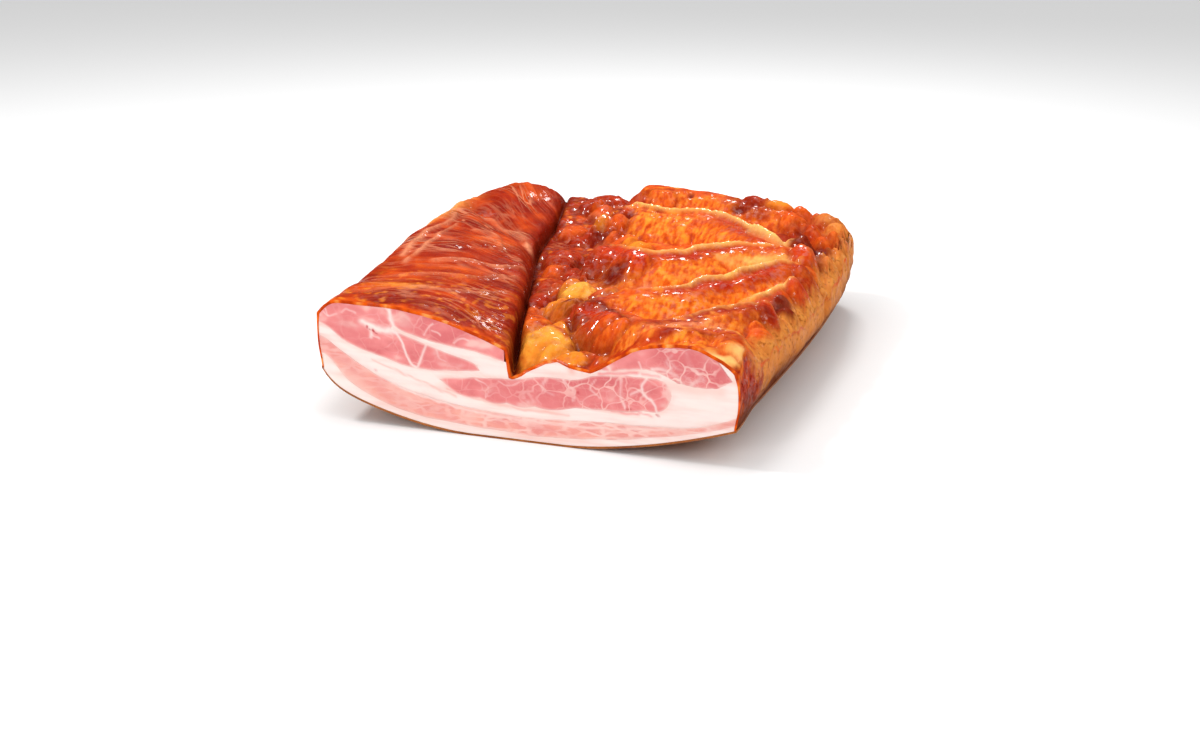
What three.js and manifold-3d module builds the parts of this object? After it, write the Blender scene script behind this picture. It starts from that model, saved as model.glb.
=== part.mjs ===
// A slab of smoked bacon: one cured and smoked pork belly, cut straight across at the front.
// The cut shows its layers, which run through the slab from front to back: skin fat, a thin streak of
// lean, the main fat and three thick leans. A deep groove parts the smooth left lobe from the right part,
// whose top has ridges where the ribs were taken out.
// Millimetres, +Z up, front cut at the lowest Y. The origin is the middle of the box at the bottom.
import * as THREE from "three";
import { mergeVertices } from "three/addons/utils/BufferGeometryUtils.js";
import Module from "manifold-3d";

// Driving sizes
const WIDTH = 324;
const DEPTH = 374;
const FRONT = -DEPTH / 2;
const BACK = DEPTH / 2;
const FRONT_LEFT = -127.5;
const FRONT_RIGHT = 146;
const BACK_CORNER = 34;
const LAYER_GAP = 0.3;

// Underside: flat in the middle, so that the slab rests, and raised at both sides
const FLAT_LEFT = -24;
const FLAT_RIGHT = 36;
const LEFT_RISE = 25;
const LEFT_CURL = 12;
const RIGHT_RISE = 23;

// Top: heights of the lobe, the strip beside the groove and the ridged field
const LOBE_HEIGHT = 80;
const STRIP_HEIGHT = 58;
const FIELD_HEIGHT = 62;
const GROOVE_FLOOR = 43;
const EDGE_ROUND = 15;
const EDGE_DROP = 10;

// Mesh fineness
const TOP_COLUMNS = 46;
const TOP_ROWS = 58;
const BODY_COLUMNS = 20;
const BODY_ROWS = 10;
const LAYER_STEPS = 6;

const { min, max, abs, sin, sqrt, hypot, sign } = Math;
const clamp = (v, low, high) => min(max(v, low), high);
const mix = (a, b, t) => a + (b - a) * t;
const smooth = (low, high, v) => {
  const t = clamp((v - low) / (high - low), 0, 1);
  return t * t * (3 - 2 * t);
};
const depthShare = (y) => clamp((y - FRONT) / DEPTH, 0, 1);

// Plan outline: where the left wall, the right wall and the back stand
const leftWall = (y) => mix(FRONT_LEFT, -WIDTH / 2, smooth(-0.1, 0.85, depthShare(y)) - 0.03 * (1 - depthShare(y)));
const rightWall = (y) => {
  const t = depthShare(y);
  return mix(FRONT_RIGHT, WIDTH / 2, sin((Math.PI / 2) * min(t / 0.75, 1))) - 6 * smooth(0.8, 1, t);
};
const backWall = (x) => {
  const middle = (leftWall(BACK) + rightWall(BACK)) / 2;
  const reach = (rightWall(BACK) - leftWall(BACK)) / 2;
  const into = clamp((abs(x - middle) - (reach - BACK_CORNER)) / BACK_CORNER, 0, 1);
  return BACK - BACK_CORNER * (1 - sqrt(1 - into * into));
};

// Underside height
const bottom = (x, y) => {
  const left = clamp((FLAT_LEFT - x) / (FLAT_LEFT - leftWall(y)), 0, 1);
  const right = clamp((x - FLAT_RIGHT) / (rightWall(y) - FLAT_RIGHT), 0, 1);
  return LEFT_RISE * left ** 1.8 + LEFT_CURL * left ** 14 + RIGHT_RISE * right ** 1.7;
};

// Lines that the top's folds follow, each a smooth curve through a few points seen from above
const curveThrough = (points) =>
  new THREE.SplineCurve(points.map(([x, y]) => new THREE.Vector2(x, y))).getPoints(points.length * 5);

// Nearest place on a line: distance from it, positive on its left, and the share of the way along
function nearest(line, x, y) {
  let best = { gap: Infinity, side: 0, along: 0 };
  for (let i = 0; i < line.length - 1; i++) {
    const a = line[i];
    const dx = line[i + 1].x - a.x;
    const dy = line[i + 1].y - a.y;
    const t = clamp(((x - a.x) * dx + (y - a.y) * dy) / (dx * dx + dy * dy), 0, 1);
    const gap = hypot(x - a.x - t * dx, y - a.y - t * dy);
    if (gap < best.gap) {
      const side = sign(dx * (y - a.y) - dy * (x - a.x));
      best = { gap, side, along: (i + t) / (line.length - 1) };
    }
  }
  return best;
}

// Ridges of the right part: a crest line from left to right, how far it rises, the share of the rise
// that it loses along its length, and how far it runs out towards the front and the back
const RIDGES = [
  { crest: [[-28, 176], [0, 174], [45, 172], [90, 166], [128, 150]], rise: 25, fade: 0.55, front: 34, back: 24 },
  { crest: [[-22, 130], [0, 134], [37, 138], [58, 138], [80, 108], [107, 88], [124, 63]], rise: 16, fade: 0.1, front: 40, back: 20 },
  { crest: [[-8, 0], [2, 20], [24, 22], [50, 26], [80, 44], [110, 56], [134, 45]], rise: 16, fade: 0.1, front: 40, back: 36 },
  { crest: [[22, -108], [45, -86], [66, -78], [88, -50], [112, -14], [140, 18]], rise: 15, fade: 0.1, front: 34, back: 38 },
  { crest: [[92, -112], [107, -84], [126, -62], [146, -18]], rise: 9, fade: 0, front: 16, back: 20 },
  { crest: [[50, -170], [70, -156], [92, -122], [116, -98], [142, -82]], rise: 13, fade: 0, front: 60, back: 30 },
].map((ridge) => ({ ...ridge, line: curveThrough(ridge.crest) }));

// Creases: lines pressed into the top, with their depth and half width
const CREASES = [
  { path: [[-140, 100], [-112, 72], [-84, 42], [-58, 14], [-42, -20]], depth: 4.5, reach: 13 },
  { path: [[28, -150], [34, -172], [40, -187]], depth: 4, reach: 8 },
  { path: [[118, 128], [136, 70], [152, 20], [160, 6]], depth: 6, reach: 9 },
].map((crease) => ({ ...crease, line: curveThrough(crease.path) }));

// Lumps of fat and meat: place, half width, half depth and rise
const LUMPS = [
  [10, -72, 13, 16, 7],
  [18, -138, 18, 20, 5],
  [24, -172, 16, 15, 4],
  [52, -152, 17, 13, 8],
  [-8, -20, 18, 20, 5],
  [-30, 44, 16, 22, 5],
  [-44, 98, 20, 22, 7],
  [-62, 150, 20, 24, 6],
  [36, -130, 16, 14, 5],
  [132, 62, 22, 34, 9],
  [134, -34, 14, 14, 4],
  [148, 112, 20, 30, 8],
  [-110, 166, 34, 30, 5],
  [140, -187, 17, 15, -11],
  [146, -160, 12, 14, 5],
];

const GROOVE = curveThrough([[2, FRONT - 6], [1, FRONT + 12], [-33, -57], [-60, 37], [-72, 118], [-84, BACK + 6]]);
const grooveMiddle = (y) => {
  const after = GROOVE.findIndex((p) => p.y > y);
  if (after < 1) return GROOVE[after === 0 ? 0 : GROOVE.length - 1].x;
  const [a, b] = [GROOVE[after - 1], GROOVE[after]];
  return mix(a.x, b.x, (y - a.y) / (b.y - a.y));
};

// Top of the left lobe: smooth, lower beside the groove and at the far left corner
const lobeHeight = (x, y, beside) => {
  const t = depthShare(y);
  const fall = 11 + 11 * (1 - smooth(0, 0.22, t));
  const farCorner = 9 * smooth(0.7, 1, t) * smooth(40, 80, beside);
  const swell = 1.5 * sin(y / 31 - x / 60);
  const wrinkle = 0.7 * sin(y / 9 + x / 31 + 1.4 * sin(x / 23));
  const level = LOBE_HEIGHT - 3 * smooth(0.1, 0.4, t) - farCorner;
  return level - fall * (1 - clamp(beside / 90, 0, 1)) ** 1.9 + swell * smooth(0, 0.15, t) + wrinkle;
};

// Top of the right part: a lumpy strip beside the groove, then the ridged field
const rightHeight = (x, y, beside) => {
  const t = depthShare(y);
  const nearCut = 1 - smooth(0, 0.12, t);
  const field = mix(STRIP_HEIGHT, FIELD_HEIGHT, smooth(45, 80, beside));
  const rise = 10 * nearCut * smooth(58, 88, x) + 8 * smooth(0.72, 0.97, t) * (1 - smooth(10, 70, beside));
  const dip = 8 * nearCut * (1 - smooth(6, 44, beside));
  const ridged = RIDGES.reduce((highest, { line, rise: full, fade, front, back }) => {
    const { gap, side, along } = nearest(line, x, y);
    const reach = side > 0 ? back : front;
    const ends = smooth(0, 0.12, along) * (1 - fade * along) * (1 - 0.4 * smooth(0.86, 1, along));
    return max(highest, full * ends * (1 - smooth(-0.2, 1, gap / reach)));
  }, 0);
  const rough = 0.9 * sin(x / 6.1 + 2 * sin(y / 13)) * sin(y / 7.3 + 1.5 * sin(x / 11));
  return field + rise - dip + ridged + rough;
};

const addLumps = (x, y) =>
  LUMPS.reduce((sum, [cx, cy, rx, ry, rise]) => sum + rise * (1 - smooth(0, 1, hypot((x - cx) / rx, (y - cy) / ry))), 0);

const addCreases = (x, y) =>
  CREASES.reduce((sum, { line, depth, reach }) => sum + depth * (1 - smooth(0, 1, nearest(line, x, y).gap / reach)), 0);

// Height of the top
function top(x, y) {
  const at = clamp(y, FRONT, BACK);
  const beside = x - grooveMiddle(at);
  const flank = beside < 0 ? lobeHeight(x, at, -beside) : rightHeight(x, at, beside);
  const ground = flank + addLumps(x, at) - addCreases(x, at);
  const floor = GROOVE_FLOOR + 5 * smooth(0, 0.2, depthShare(at)) + 11 * smooth(0.85, 1, depthShare(at));
  const grooved = mix(floor, ground, smooth(0.3, 1, beside < 0 ? -beside / 3.6 : beside / 12));
  const inside = min(x - leftWall(at), rightWall(at) - x, backWall(x) - y);
  const round = 1 - clamp(inside / EDGE_ROUND, 0, 1);
  return grooved - EDGE_DROP * round * round;
}

// Geometry to solid and back
const wasm = await Module();
wasm.setup();

function solidOf(geometry) {
  const bare = geometry.clone();
  bare.deleteAttribute("normal");
  bare.deleteAttribute("uv");
  const merged = mergeVertices(bare, 1e-3);
  const vertProperties = new Float32Array(merged.attributes.position.array);
  const triVerts = new Uint32Array(merged.index.array);
  return new wasm.Manifold(new wasm.Mesh({ numProp: 3, vertProperties, triVerts }));
}

function geometryOf(solid) {
  const mesh = solid.getMesh();
  const geometry = new THREE.BufferGeometry();
  geometry.setAttribute("position", new THREE.BufferAttribute(mesh.vertProperties, 3));
  geometry.setIndex(new THREE.BufferAttribute(mesh.triVerts, 1));
  geometry.computeVertexNormals();
  return geometry;
}

function movePoints(geometry, move) {
  const places = geometry.attributes.position;
  for (let i = 0; i < places.count; i++) {
    places.setXYZ(i, ...move(places.getX(i), places.getY(i), places.getZ(i)));
  }
  return geometry;
}

// The slab's body without the relief of its top: its walls bulge a little and curl in at the bottom
const BODY_TOP = 110;
const BODY_LEVELS = [0, 4, 12, 28, 55, BODY_TOP];
function bodySolid() {
  const layers = BODY_LEVELS.length - 1;
  const box = new THREE.BoxGeometry(2, 1, 1, BODY_COLUMNS, BODY_ROWS, layers);
  return solidOf(
    movePoints(box, (u, v, w) => {
      const above = BODY_LEVELS[Math.round((w + 0.5) * layers)];
      const t = v + 0.5;
      const y = mix(FRONT, BACK, t);
      const curl = mix(2, 7, smooth(0, 0.15, t)) * (1 - smooth(0, 20, above)) ** 2;
      const lean = smooth(20, 75, above);
      const low = leftWall(y) + curl + 2 * lean;
      const high = rightWall(y) - curl - 9 * lean * (1 - 0.5 * smooth(0, 0.3, t));
      const x = mix(low, high, (u + 1) / 2);
      return [x, mix(FRONT, backWall(x) - curl, t), mix(bottom(x, y), BODY_TOP, above / BODY_TOP)];
    }),
  );
}

// A block under the relief of the top, larger than the slab on every other side. Its columns follow
// the groove and stand closer together beside it and at the walls.
function reliefSolid() {
  const MARGIN = 5;
  const DEEP = -20;
  const LOBE_SHARE = 0.38;
  const spread = (t) => t - (0.5 * sin(2 * Math.PI * t)) / (2 * Math.PI);
  const block = new THREE.BoxGeometry(1, DEPTH + 2 * MARGIN, 1, TOP_COLUMNS, TOP_ROWS, 1);
  return solidOf(
    movePoints(block, (u, y, w) => {
      const t = u + 0.5;
      const at = clamp(y, FRONT, BACK);
      const middle = grooveMiddle(at);
      const x =
        t < LOBE_SHARE
          ? mix(leftWall(at) - MARGIN, middle, spread(t / LOBE_SHARE))
          : mix(middle, rightWall(at) + MARGIN, spread((t - LOBE_SHARE) / (1 - LOBE_SHARE)));
      return [x, y, w > 0 ? top(x, y) : DEEP];
    }),
  );
}

// Carries a point of the front cut back through the slab: it keeps its share of the way between wall
// and groove, and nearly its height above the underside
function carriedBack(x, y, z) {
  const at = clamp(y, FRONT, BACK);
  const groove = grooveMiddle(FRONT);
  const onLobe = x < groove;
  const share = onLobe ? (x - FRONT_LEFT) / (groove - FRONT_LEFT) : (x - groove) / (FRONT_RIGHT - groove);
  const here = grooveMiddle(at);
  const moved = onLobe ? mix(leftWall(at), here, share) : mix(here, rightWall(at), share);
  const above = (z - bottom(x, FRONT)) * mix(1, 0.9, smooth(0, 0.3, depthShare(at)));
  return [moved, y, bottom(moved, at) + above];
}

// Outlines of the layers on the front cut, as [x, z]
const SKIN_FAT_TOP = [[-148, 46], [-127, 44.5], [-119, 40], [-107, 27], [-88, 17], [-60, 9.3], [-33, 7], [8, 4.8], [34, 5.2], [66, 8.5], [100, 14], [126, 20.5], [145, 27], [162, 33]];
const STREAK_TOP = [[-148, 57], [-126, 55.8], [-110, 46], [-87, 33], [-59, 23.8], [-32, 19.2], [8, 16.3], [34, 17.3], [60, 19], [98, 20.2], [122, 23], [145, 32], [162, 39]];
const LEAN_MIDDLE = [[-45, 35], [-18, 39.2], [5, 40.4], [22, 44], [44, 44.4], [58, 48.6], [78, 50.4], [97, 50.2], [104.5, 41], [99, 31.8], [85, 29.2], [60, 28.2], [28, 24.6], [-5, 24.6], [-32, 28]];
const LEAN_LEFT_LOWER = [[-150, 67], [-126, 64.7], [-107, 52.8], [-82, 45.4], [-60, 40.4], [-35, 41.8], [-17, 43.4], [-20, 47.6], [-40, 53], [-62, 59.8], [-74, 63.6]];
const LEAN_LEFT_UPPER = [[-74, 67.6], [-67, 63.6], [-44, 58], [-21, 55.6], [-3, 51.5]];
const LEAN_RIGHT_LOWER = [[58, 51.8], [72, 53], [86, 55.4], [98, 54], [110, 48.8], [131, 48.6], [141, 54]];
const ABOVE = 100;

const shapeOf = (parts) =>
  parts.flatMap((part) => {
    const points = part.map(([x, z]) => new THREE.Vector2(x, z));
    return part.length < 3 ? points : new THREE.SplineCurve(points).getPoints(Math.round(part.length * 1.5));
  });

// An outline moved outwards all round
function widened(points, by) {
  const count = points.length;
  const turn = THREE.ShapeUtils.area(points) > 0 ? 1 : -1;
  const outward = (from, to) => {
    const way = to.clone().sub(from).normalize();
    return new THREE.Vector2(turn * way.y, -turn * way.x);
  };
  return points.map((p, i) => {
    const before = outward(points[(i + count - 1) % count], p);
    const after = outward(p, points[(i + 1) % count]);
    const middle = before.clone().add(after).normalize();
    return p.clone().addScaledVector(middle, by / max(middle.dot(before), 0.4));
  });
}

// A layer: its outline on the cut, drawn through the slab from front to back
function layerSolid(points, by = 0) {
  const MARGIN = 6;
  const shape = new THREE.Shape(by ? widened(points, by) : points);
  const drawn = new THREE.ExtrudeGeometry(shape, {
    depth: DEPTH + 2 * MARGIN,
    steps: LAYER_STEPS,
    bevelEnabled: false,
  });
  return solidOf(movePoints(drawn, (a, b, c) => carriedBack(a, BACK + MARGIN - c, b)));
}

const below = (line) => shapeOf([line, [[162, -60], [-148, -60]]]);
const outlines = {
  skinFat: below(SKIN_FAT_TOP),
  throughStreak: below(STREAK_TOP),
  leanMiddle: shapeOf([LEAN_MIDDLE]),
  leanLeft: shapeOf([LEAN_LEFT_LOWER, LEAN_LEFT_UPPER, [[1, 56], [1, ABOVE]], [[-150, ABOVE]]]),
  leanRight: shapeOf([LEAN_RIGHT_LOWER, [[128, 70.4], [124, ABOVE]], [[66, ABOVE], [61, 58]]]),
};

// The largest piece, without the loose scraps that a cut may leave
const largest = (solid) => solid.decompose().reduce((a, b) => (b.volume() > a.volume() ? b : a));

const slab = bodySolid().intersect(reliefSolid());
const aboveStreak = slab.subtract(layerSolid(outlines.throughStreak, LAYER_GAP));
const leans = [outlines.leanMiddle, outlines.leanLeft, outlines.leanRight];
const solids = {
  fat_skin: slab.intersect(layerSolid(outlines.skinFat)),
  lean_streak: slab
    .intersect(layerSolid(outlines.throughStreak))
    .subtract(layerSolid(outlines.skinFat, LAYER_GAP)),
  fat_main: leans.reduce((fat, outline) => fat.subtract(layerSolid(outline, LAYER_GAP)), aboveStreak),
  lean_middle: aboveStreak.intersect(layerSolid(outlines.leanMiddle)),
  lean_left: aboveStreak.intersect(layerSolid(outlines.leanLeft)),
  lean_right: aboveStreak.intersect(layerSolid(outlines.leanRight)),
};

// Materials
const fat = new THREE.MeshStandardMaterial({ color: 0xf6dccf, roughness: 0.42, metalness: 0 });
const lean = new THREE.MeshStandardMaterial({ color: 0xdb7b84, roughness: 0.38, metalness: 0 });
const paleLean = new THREE.MeshStandardMaterial({ color: 0xeda79c, roughness: 0.4, metalness: 0 });
const finishes = {
  fat_skin: fat,
  lean_streak: paleLean,
  fat_main: fat,
  lean_middle: lean,
  lean_left: lean,
  lean_right: lean,
};

const baconSlab = new THREE.Group();
for (const [name, solid] of Object.entries(solids)) {
  const mesh = new THREE.Mesh(geometryOf(largest(solid)), finishes[name]);
  mesh.name = name;
  baconSlab.add(mesh);
}

export default baconSlab;
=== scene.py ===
"""A slab of smoked bacon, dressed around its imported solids.

The browned crust has a smooth lobe at the left, a deep groove and a ridged field at the right. Below lies
the rind, and the straight front cut shows fat and lean. The shape functions work in millimetres, in the
part's own frame, on arrays of points.
"""

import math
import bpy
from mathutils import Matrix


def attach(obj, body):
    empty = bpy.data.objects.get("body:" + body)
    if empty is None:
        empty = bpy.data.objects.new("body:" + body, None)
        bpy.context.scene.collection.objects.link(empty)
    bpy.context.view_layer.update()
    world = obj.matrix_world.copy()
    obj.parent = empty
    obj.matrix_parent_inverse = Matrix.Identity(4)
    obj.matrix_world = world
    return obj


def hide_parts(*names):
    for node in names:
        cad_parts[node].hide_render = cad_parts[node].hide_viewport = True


bl_info = {
    "name": "Smoked Bacon Slab",
    "version": (1, 0, 0),
    "blender": (4, 5, 0),
    "location": "View3D > Sidebar > Bacon",
    "description": "Builds the crust, rind, fat and lean of a slab of smoked bacon, and its studio",
    "category": "Add Mesh",
}

import bmesh
import bpy
import numpy as np
from mathutils import Vector, noise

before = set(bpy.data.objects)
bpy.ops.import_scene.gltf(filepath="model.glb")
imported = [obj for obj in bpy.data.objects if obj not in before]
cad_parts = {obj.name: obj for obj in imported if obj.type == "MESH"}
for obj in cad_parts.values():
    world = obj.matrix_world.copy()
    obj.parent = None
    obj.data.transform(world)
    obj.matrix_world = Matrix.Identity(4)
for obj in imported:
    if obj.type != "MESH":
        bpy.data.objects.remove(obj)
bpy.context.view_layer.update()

MM = 0.001

# Driving sizes, as in the part's source
WIDTH, DEPTH = 324.0, 374.0
FRONT, BACK = -DEPTH / 2, DEPTH / 2
FRONT_LEFT, FRONT_RIGHT = -127.5, 146.0
BACK_CORNER = 34.0
FLAT_LEFT, FLAT_RIGHT = -24.0, 36.0
LEFT_RISE, LEFT_CURL, RIGHT_RISE = 25.0, 12.0, 23.0
LOBE_HEIGHT, STRIP_HEIGHT, FIELD_HEIGHT, GROOVE_FLOOR = 80.0, 58.0, 62.0, 43.0
EDGE_ROUND, EDGE_DROP = 15.0, 10.0

# Fits between the pieces
HIGHEST = 83.0  # the crust's top
RECESS = 0.15  # from the crust's edge back to the layers' cut faces
INSET = 0.8  # from the walls in to the layers
UNDER_CRUST = 1.6  # from the top down to the layers, at the cut
UNDER_TOP = 7.0  # the same, behind the cut
ABOVE_RIND = 0.8  # from the underside up to the crust's foot
RIND_OVERLAP = 0.25  # from the crust's foot out to the rind's edge
THINNEST = 0.25  # a layer at its thin ends
TOOL_OVER = 0.01  # share of the depth that a cutting shape is too long at each end
OVERSHOOT = 400.0  # length of that share's whole

# Mesh fineness, and the place of a sheet's edge in its own coordinates, which run from -1 to 1
WALL_ROWS, SLICES, RIND_CUTS = 22, 24, 90
AT_EDGE = 0.9999

# Finish: the wet coat, how far light spreads inside, and the depth of the reddened wall behind the cut
COAT_ROUGHNESS, COAT_IOR = 0.07, 1.65
LIGHT_REACH = 3 * MM
NEAR_CUT = 24


def linear(*screen):
    """A colour as it looks on a screen, from 0 to 255, turned into Blender's linear values."""
    return tuple(((c / 255 + 0.055) / 1.055) ** 2.4 if c > 10 else c / 255 / 12.92 for c in screen)


# Small helpers on arrays


def smooth(low, high, value):
    """Rises smoothly from 0 at low to 1 at high, or falls where low is the larger."""
    t = np.clip((value - low) / (high - low), 0, 1)
    return t * t * (3 - 2 * t)


def mix(a, b, t):
    return a + (b - a) * t


def bell(distance, width):
    return np.exp(-((distance / width) ** 2))


def line_through(points, steps=6):
    """A smooth curve through the points."""
    p = np.array(points, float)
    p = np.vstack([2 * p[0] - p[1], p, 2 * p[-1] - p[-2]])
    t = np.linspace(0, 1, steps, endpoint=False)[:, None]
    spans = [
        0.5 * (2 * b + (c - a) * t + (2 * a - 5 * b + 4 * c - d) * t**2 + (3 * b - a - 3 * c + d) * t**3)
        for a, b, c, d in zip(p, p[1:], p[2:], p[3:])
    ]
    return np.vstack(spans + [p[-2:-1]])


def nearest(line, x, y):
    """Distance from a line, the side (1 on its left) and the share of the way along it."""
    best = np.full(x.shape, 1e9)
    side = np.zeros(x.shape)
    along = np.zeros(x.shape)
    for i, (a, b) in enumerate(zip(line, line[1:])):
        dx, dy = b - a
        t = np.clip(((x - a[0]) * dx + (y - a[1]) * dy) / (dx * dx + dy * dy), 0, 1)
        gap = np.hypot(x - a[0] - t * dx, y - a[1] - t * dy)
        closer = gap < best
        best[closer] = gap[closer]
        side[closer] = np.sign(dx * (y - a[1]) - dy * (x - a[0]))[closer]
        along[closer] = ((i + t) / (len(line) - 1))[closer]
    return best, side, along


def line_gap(line, x, y, reach):
    """Distance from a line, for the points that are within reach of its box; far away for the rest."""
    low, high = line.min(axis=0) - reach, line.max(axis=0) + reach
    inside = (x > low[0]) & (x < high[0]) & (y > low[1]) & (y < high[1])
    gap = np.full(x.shape, 1e3)
    gap[inside] = nearest(line, x[inside], y[inside])[0]
    return gap


def grain(x, y, z, size, octaves=3, seed=0.0):
    """Soft noise between about -1 and 1, with that size in millimetres in each direction."""
    sx, sy, sz = size if isinstance(size, tuple) else (size, size, size)
    places = zip((x / sx + seed).tolist(), (y / sy + seed).tolist(), (z / sz + seed).tolist())
    return np.array([noise.fractal(Vector(p), 1.0, 2.0, octaves) for p in places])


def pillows(x, y, size, seed=0.0):
    """Rounded lumps packed side by side: 1 at the middle of each lump, near 0 between lumps."""

    def two_nearest(a, b):
        return noise.voronoi(Vector((a, b, seed)), distance_metric="DISTANCE", exponent=2)[0][:2]

    sx, sy = size
    places = zip((x / sx + seed).tolist(), (y / sy + seed).tolist())
    first, second = np.array([two_nearest(a, b) for a, b in places]).T
    return smooth(0.0, 0.5, second - first)


# Outline of the slab seen from above, and its underside


def depth_share(y):
    return np.clip((y - FRONT) / DEPTH, 0, 1)


def left_wall(y):
    t = depth_share(y)
    return mix(FRONT_LEFT, -WIDTH / 2, smooth(-0.1, 0.85, t) - 0.03 * (1 - t))


def right_wall(y):
    t = depth_share(y)
    return mix(FRONT_RIGHT, WIDTH / 2, np.sin(math.pi / 2 * np.minimum(t / 0.75, 1))) - 6 * smooth(0.8, 1, t)


def back_wall(x):
    middle = (left_wall(BACK) + right_wall(BACK)) / 2
    reach = (right_wall(BACK) - left_wall(BACK)) / 2
    into = np.clip((np.abs(x - middle) - (reach - BACK_CORNER)) / BACK_CORNER, 0, 1)
    return BACK - BACK_CORNER * (1 - np.sqrt(1 - into * into))


def bottom(x, y):
    left = np.clip((FLAT_LEFT - x) / (FLAT_LEFT - left_wall(y)), 0, 1)
    right = np.clip((x - FLAT_RIGHT) / (right_wall(y) - FLAT_RIGHT), 0, 1)
    return LEFT_RISE * left**1.8 + LEFT_CURL * left**14 + RIGHT_RISE * right**1.7


def wall_curl(y, above):
    """How far the walls pull in at the foot, on both sides, and at the top, on the left and the right."""
    t = depth_share(y)
    foot = mix(2.0, 7.0, smooth(0, 0.15, t)) * (1 - smooth(0, 20, above)) ** 2
    lean = smooth(20, 75, above)
    return foot, 2 * lean, 9 * lean * (1 - 0.5 * smooth(0, 0.3, t))


# Folds of the top. Each ridge has its crest from left to right, its rise, the share of the rise lost along
# it, the share of its length in which it starts, the reach of its face at both ends, the reach of its back,
# and, in equal steps along it, how pale its crest is and how red the band under the crest
RIDGES = [
    dict(
        path=[(-30, 178), (0, 172), (45, 170), (90, 164), (128, 150)],
        rise=25, fade=0.5, start=0.2, face=(34, 34), back=24,
        pale=[0, 0],
        red=[0.1, 0.1, 0.5, 0.9],
    ),
    dict(
        path=[(-22, 120), (-15, 118), (-8, 124), (6, 116), (26, 116), (41, 122), (62, 116), (86, 91),
              (109, 66), (120, 66)],
        rise=16, fade=0.1, start=0.06, face=(48, 30), back=22,
        pale=[0.2, 0.9, 1, 1, 1.1, 1.2],
        red=[1, 0.1, 0, 0.4, 1.2, 0.3],
    ),
    dict(
        path=[(-12, 10), (-4, 11), (2, 16), (12, 11), (25, -1), (36, -6), (58, -1), (68, 17), (83, 31),
              (103, 38), (124, 40), (138, 38), (147, 25)],
        rise=16, fade=0.1, start=0.06, face=(44, 28), back=34,
        pale=[0, 0.1, 0.5, 1, 1.1, 0.3, 0.1],
        red=[1, 0.4, 1.1, 1.3, 1, 0.3, 0.6],
    ),
    dict(
        path=[(25, -125), (28, -118), (34, -106), (44, -96), (58, -98), (72, -88), (82, -82), (89, -64),
              (102, -50), (116, -21), (132, 4), (139, 24)],
        rise=16, fade=0.1, start=0.06, face=(34, 22), back=38,
        pale=[0, 0.1, 0.15, 0.5, 1.1, 1.1, 0.4],
        red=[1, 0.3, 0, 0.3, 1.3, 1.3, 0.6],
    ),
    dict(
        path=[(118, -82), (126, -71), (131, -58), (137, -41), (142, -27), (146, -18)],
        rise=8, fade=0, start=0.2, face=(14, 12), back=20,
        pale=[0.3, 0.9, 0.8, 0.3],
        red=[0.4, 0.6, 0.3],
    ),
    dict(
        path=[(12, -110), (30, -114), (49, -126), (64, -142), (76, -150), (86, -144), (96, -136), (104, -124),
              (111, -113), (121, -101), (135, -89), (148, -87)],
        rise=12, fade=0, start=0.08, face=(34, 20), back=26,
        pale=[0, 0, 0, 0.3, 0.4, 0.3],
        red=[1.2, 1.2, 0.6, 0.1, 0.2, 0.6],
    ),
    dict(
        path=[(78, -184), (90, -174), (101, -157), (112, -146), (123, -142), (134, -146), (144, -158)],
        rise=9, fade=0, start=0.15, face=(30, 24), back=16,
        pale=[0, 0.2, 0.3, 0.2],
        red=[0.3, 0.6, 0.6, 0.4],
    ),
]
for ridge in RIDGES:
    ridge["line"] = line_through(ridge["path"])

# Lines pressed into the top: path, depth and half width
CREASES = [
    (line_through([(-140, 100), (-112, 72), (-84, 42), (-58, 14), (-42, -20)]), 5, 12),
    (line_through([(20, -126), (25, -138), (31, -152), (39, -162)]), 6, 5),
    (line_through([(39, -162), (50, -168), (62, -174)]), 3, 5),
    (line_through([(118, 128), (136, 84), (152, 36), (160, 20)]), 7, 8),
    (line_through([(158, -52), (142, -70), (150, -92)]), 4, 6),
    (line_through([(-22, 20), (-6, -12), (8, -30)]), 3, 6),
]

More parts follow.
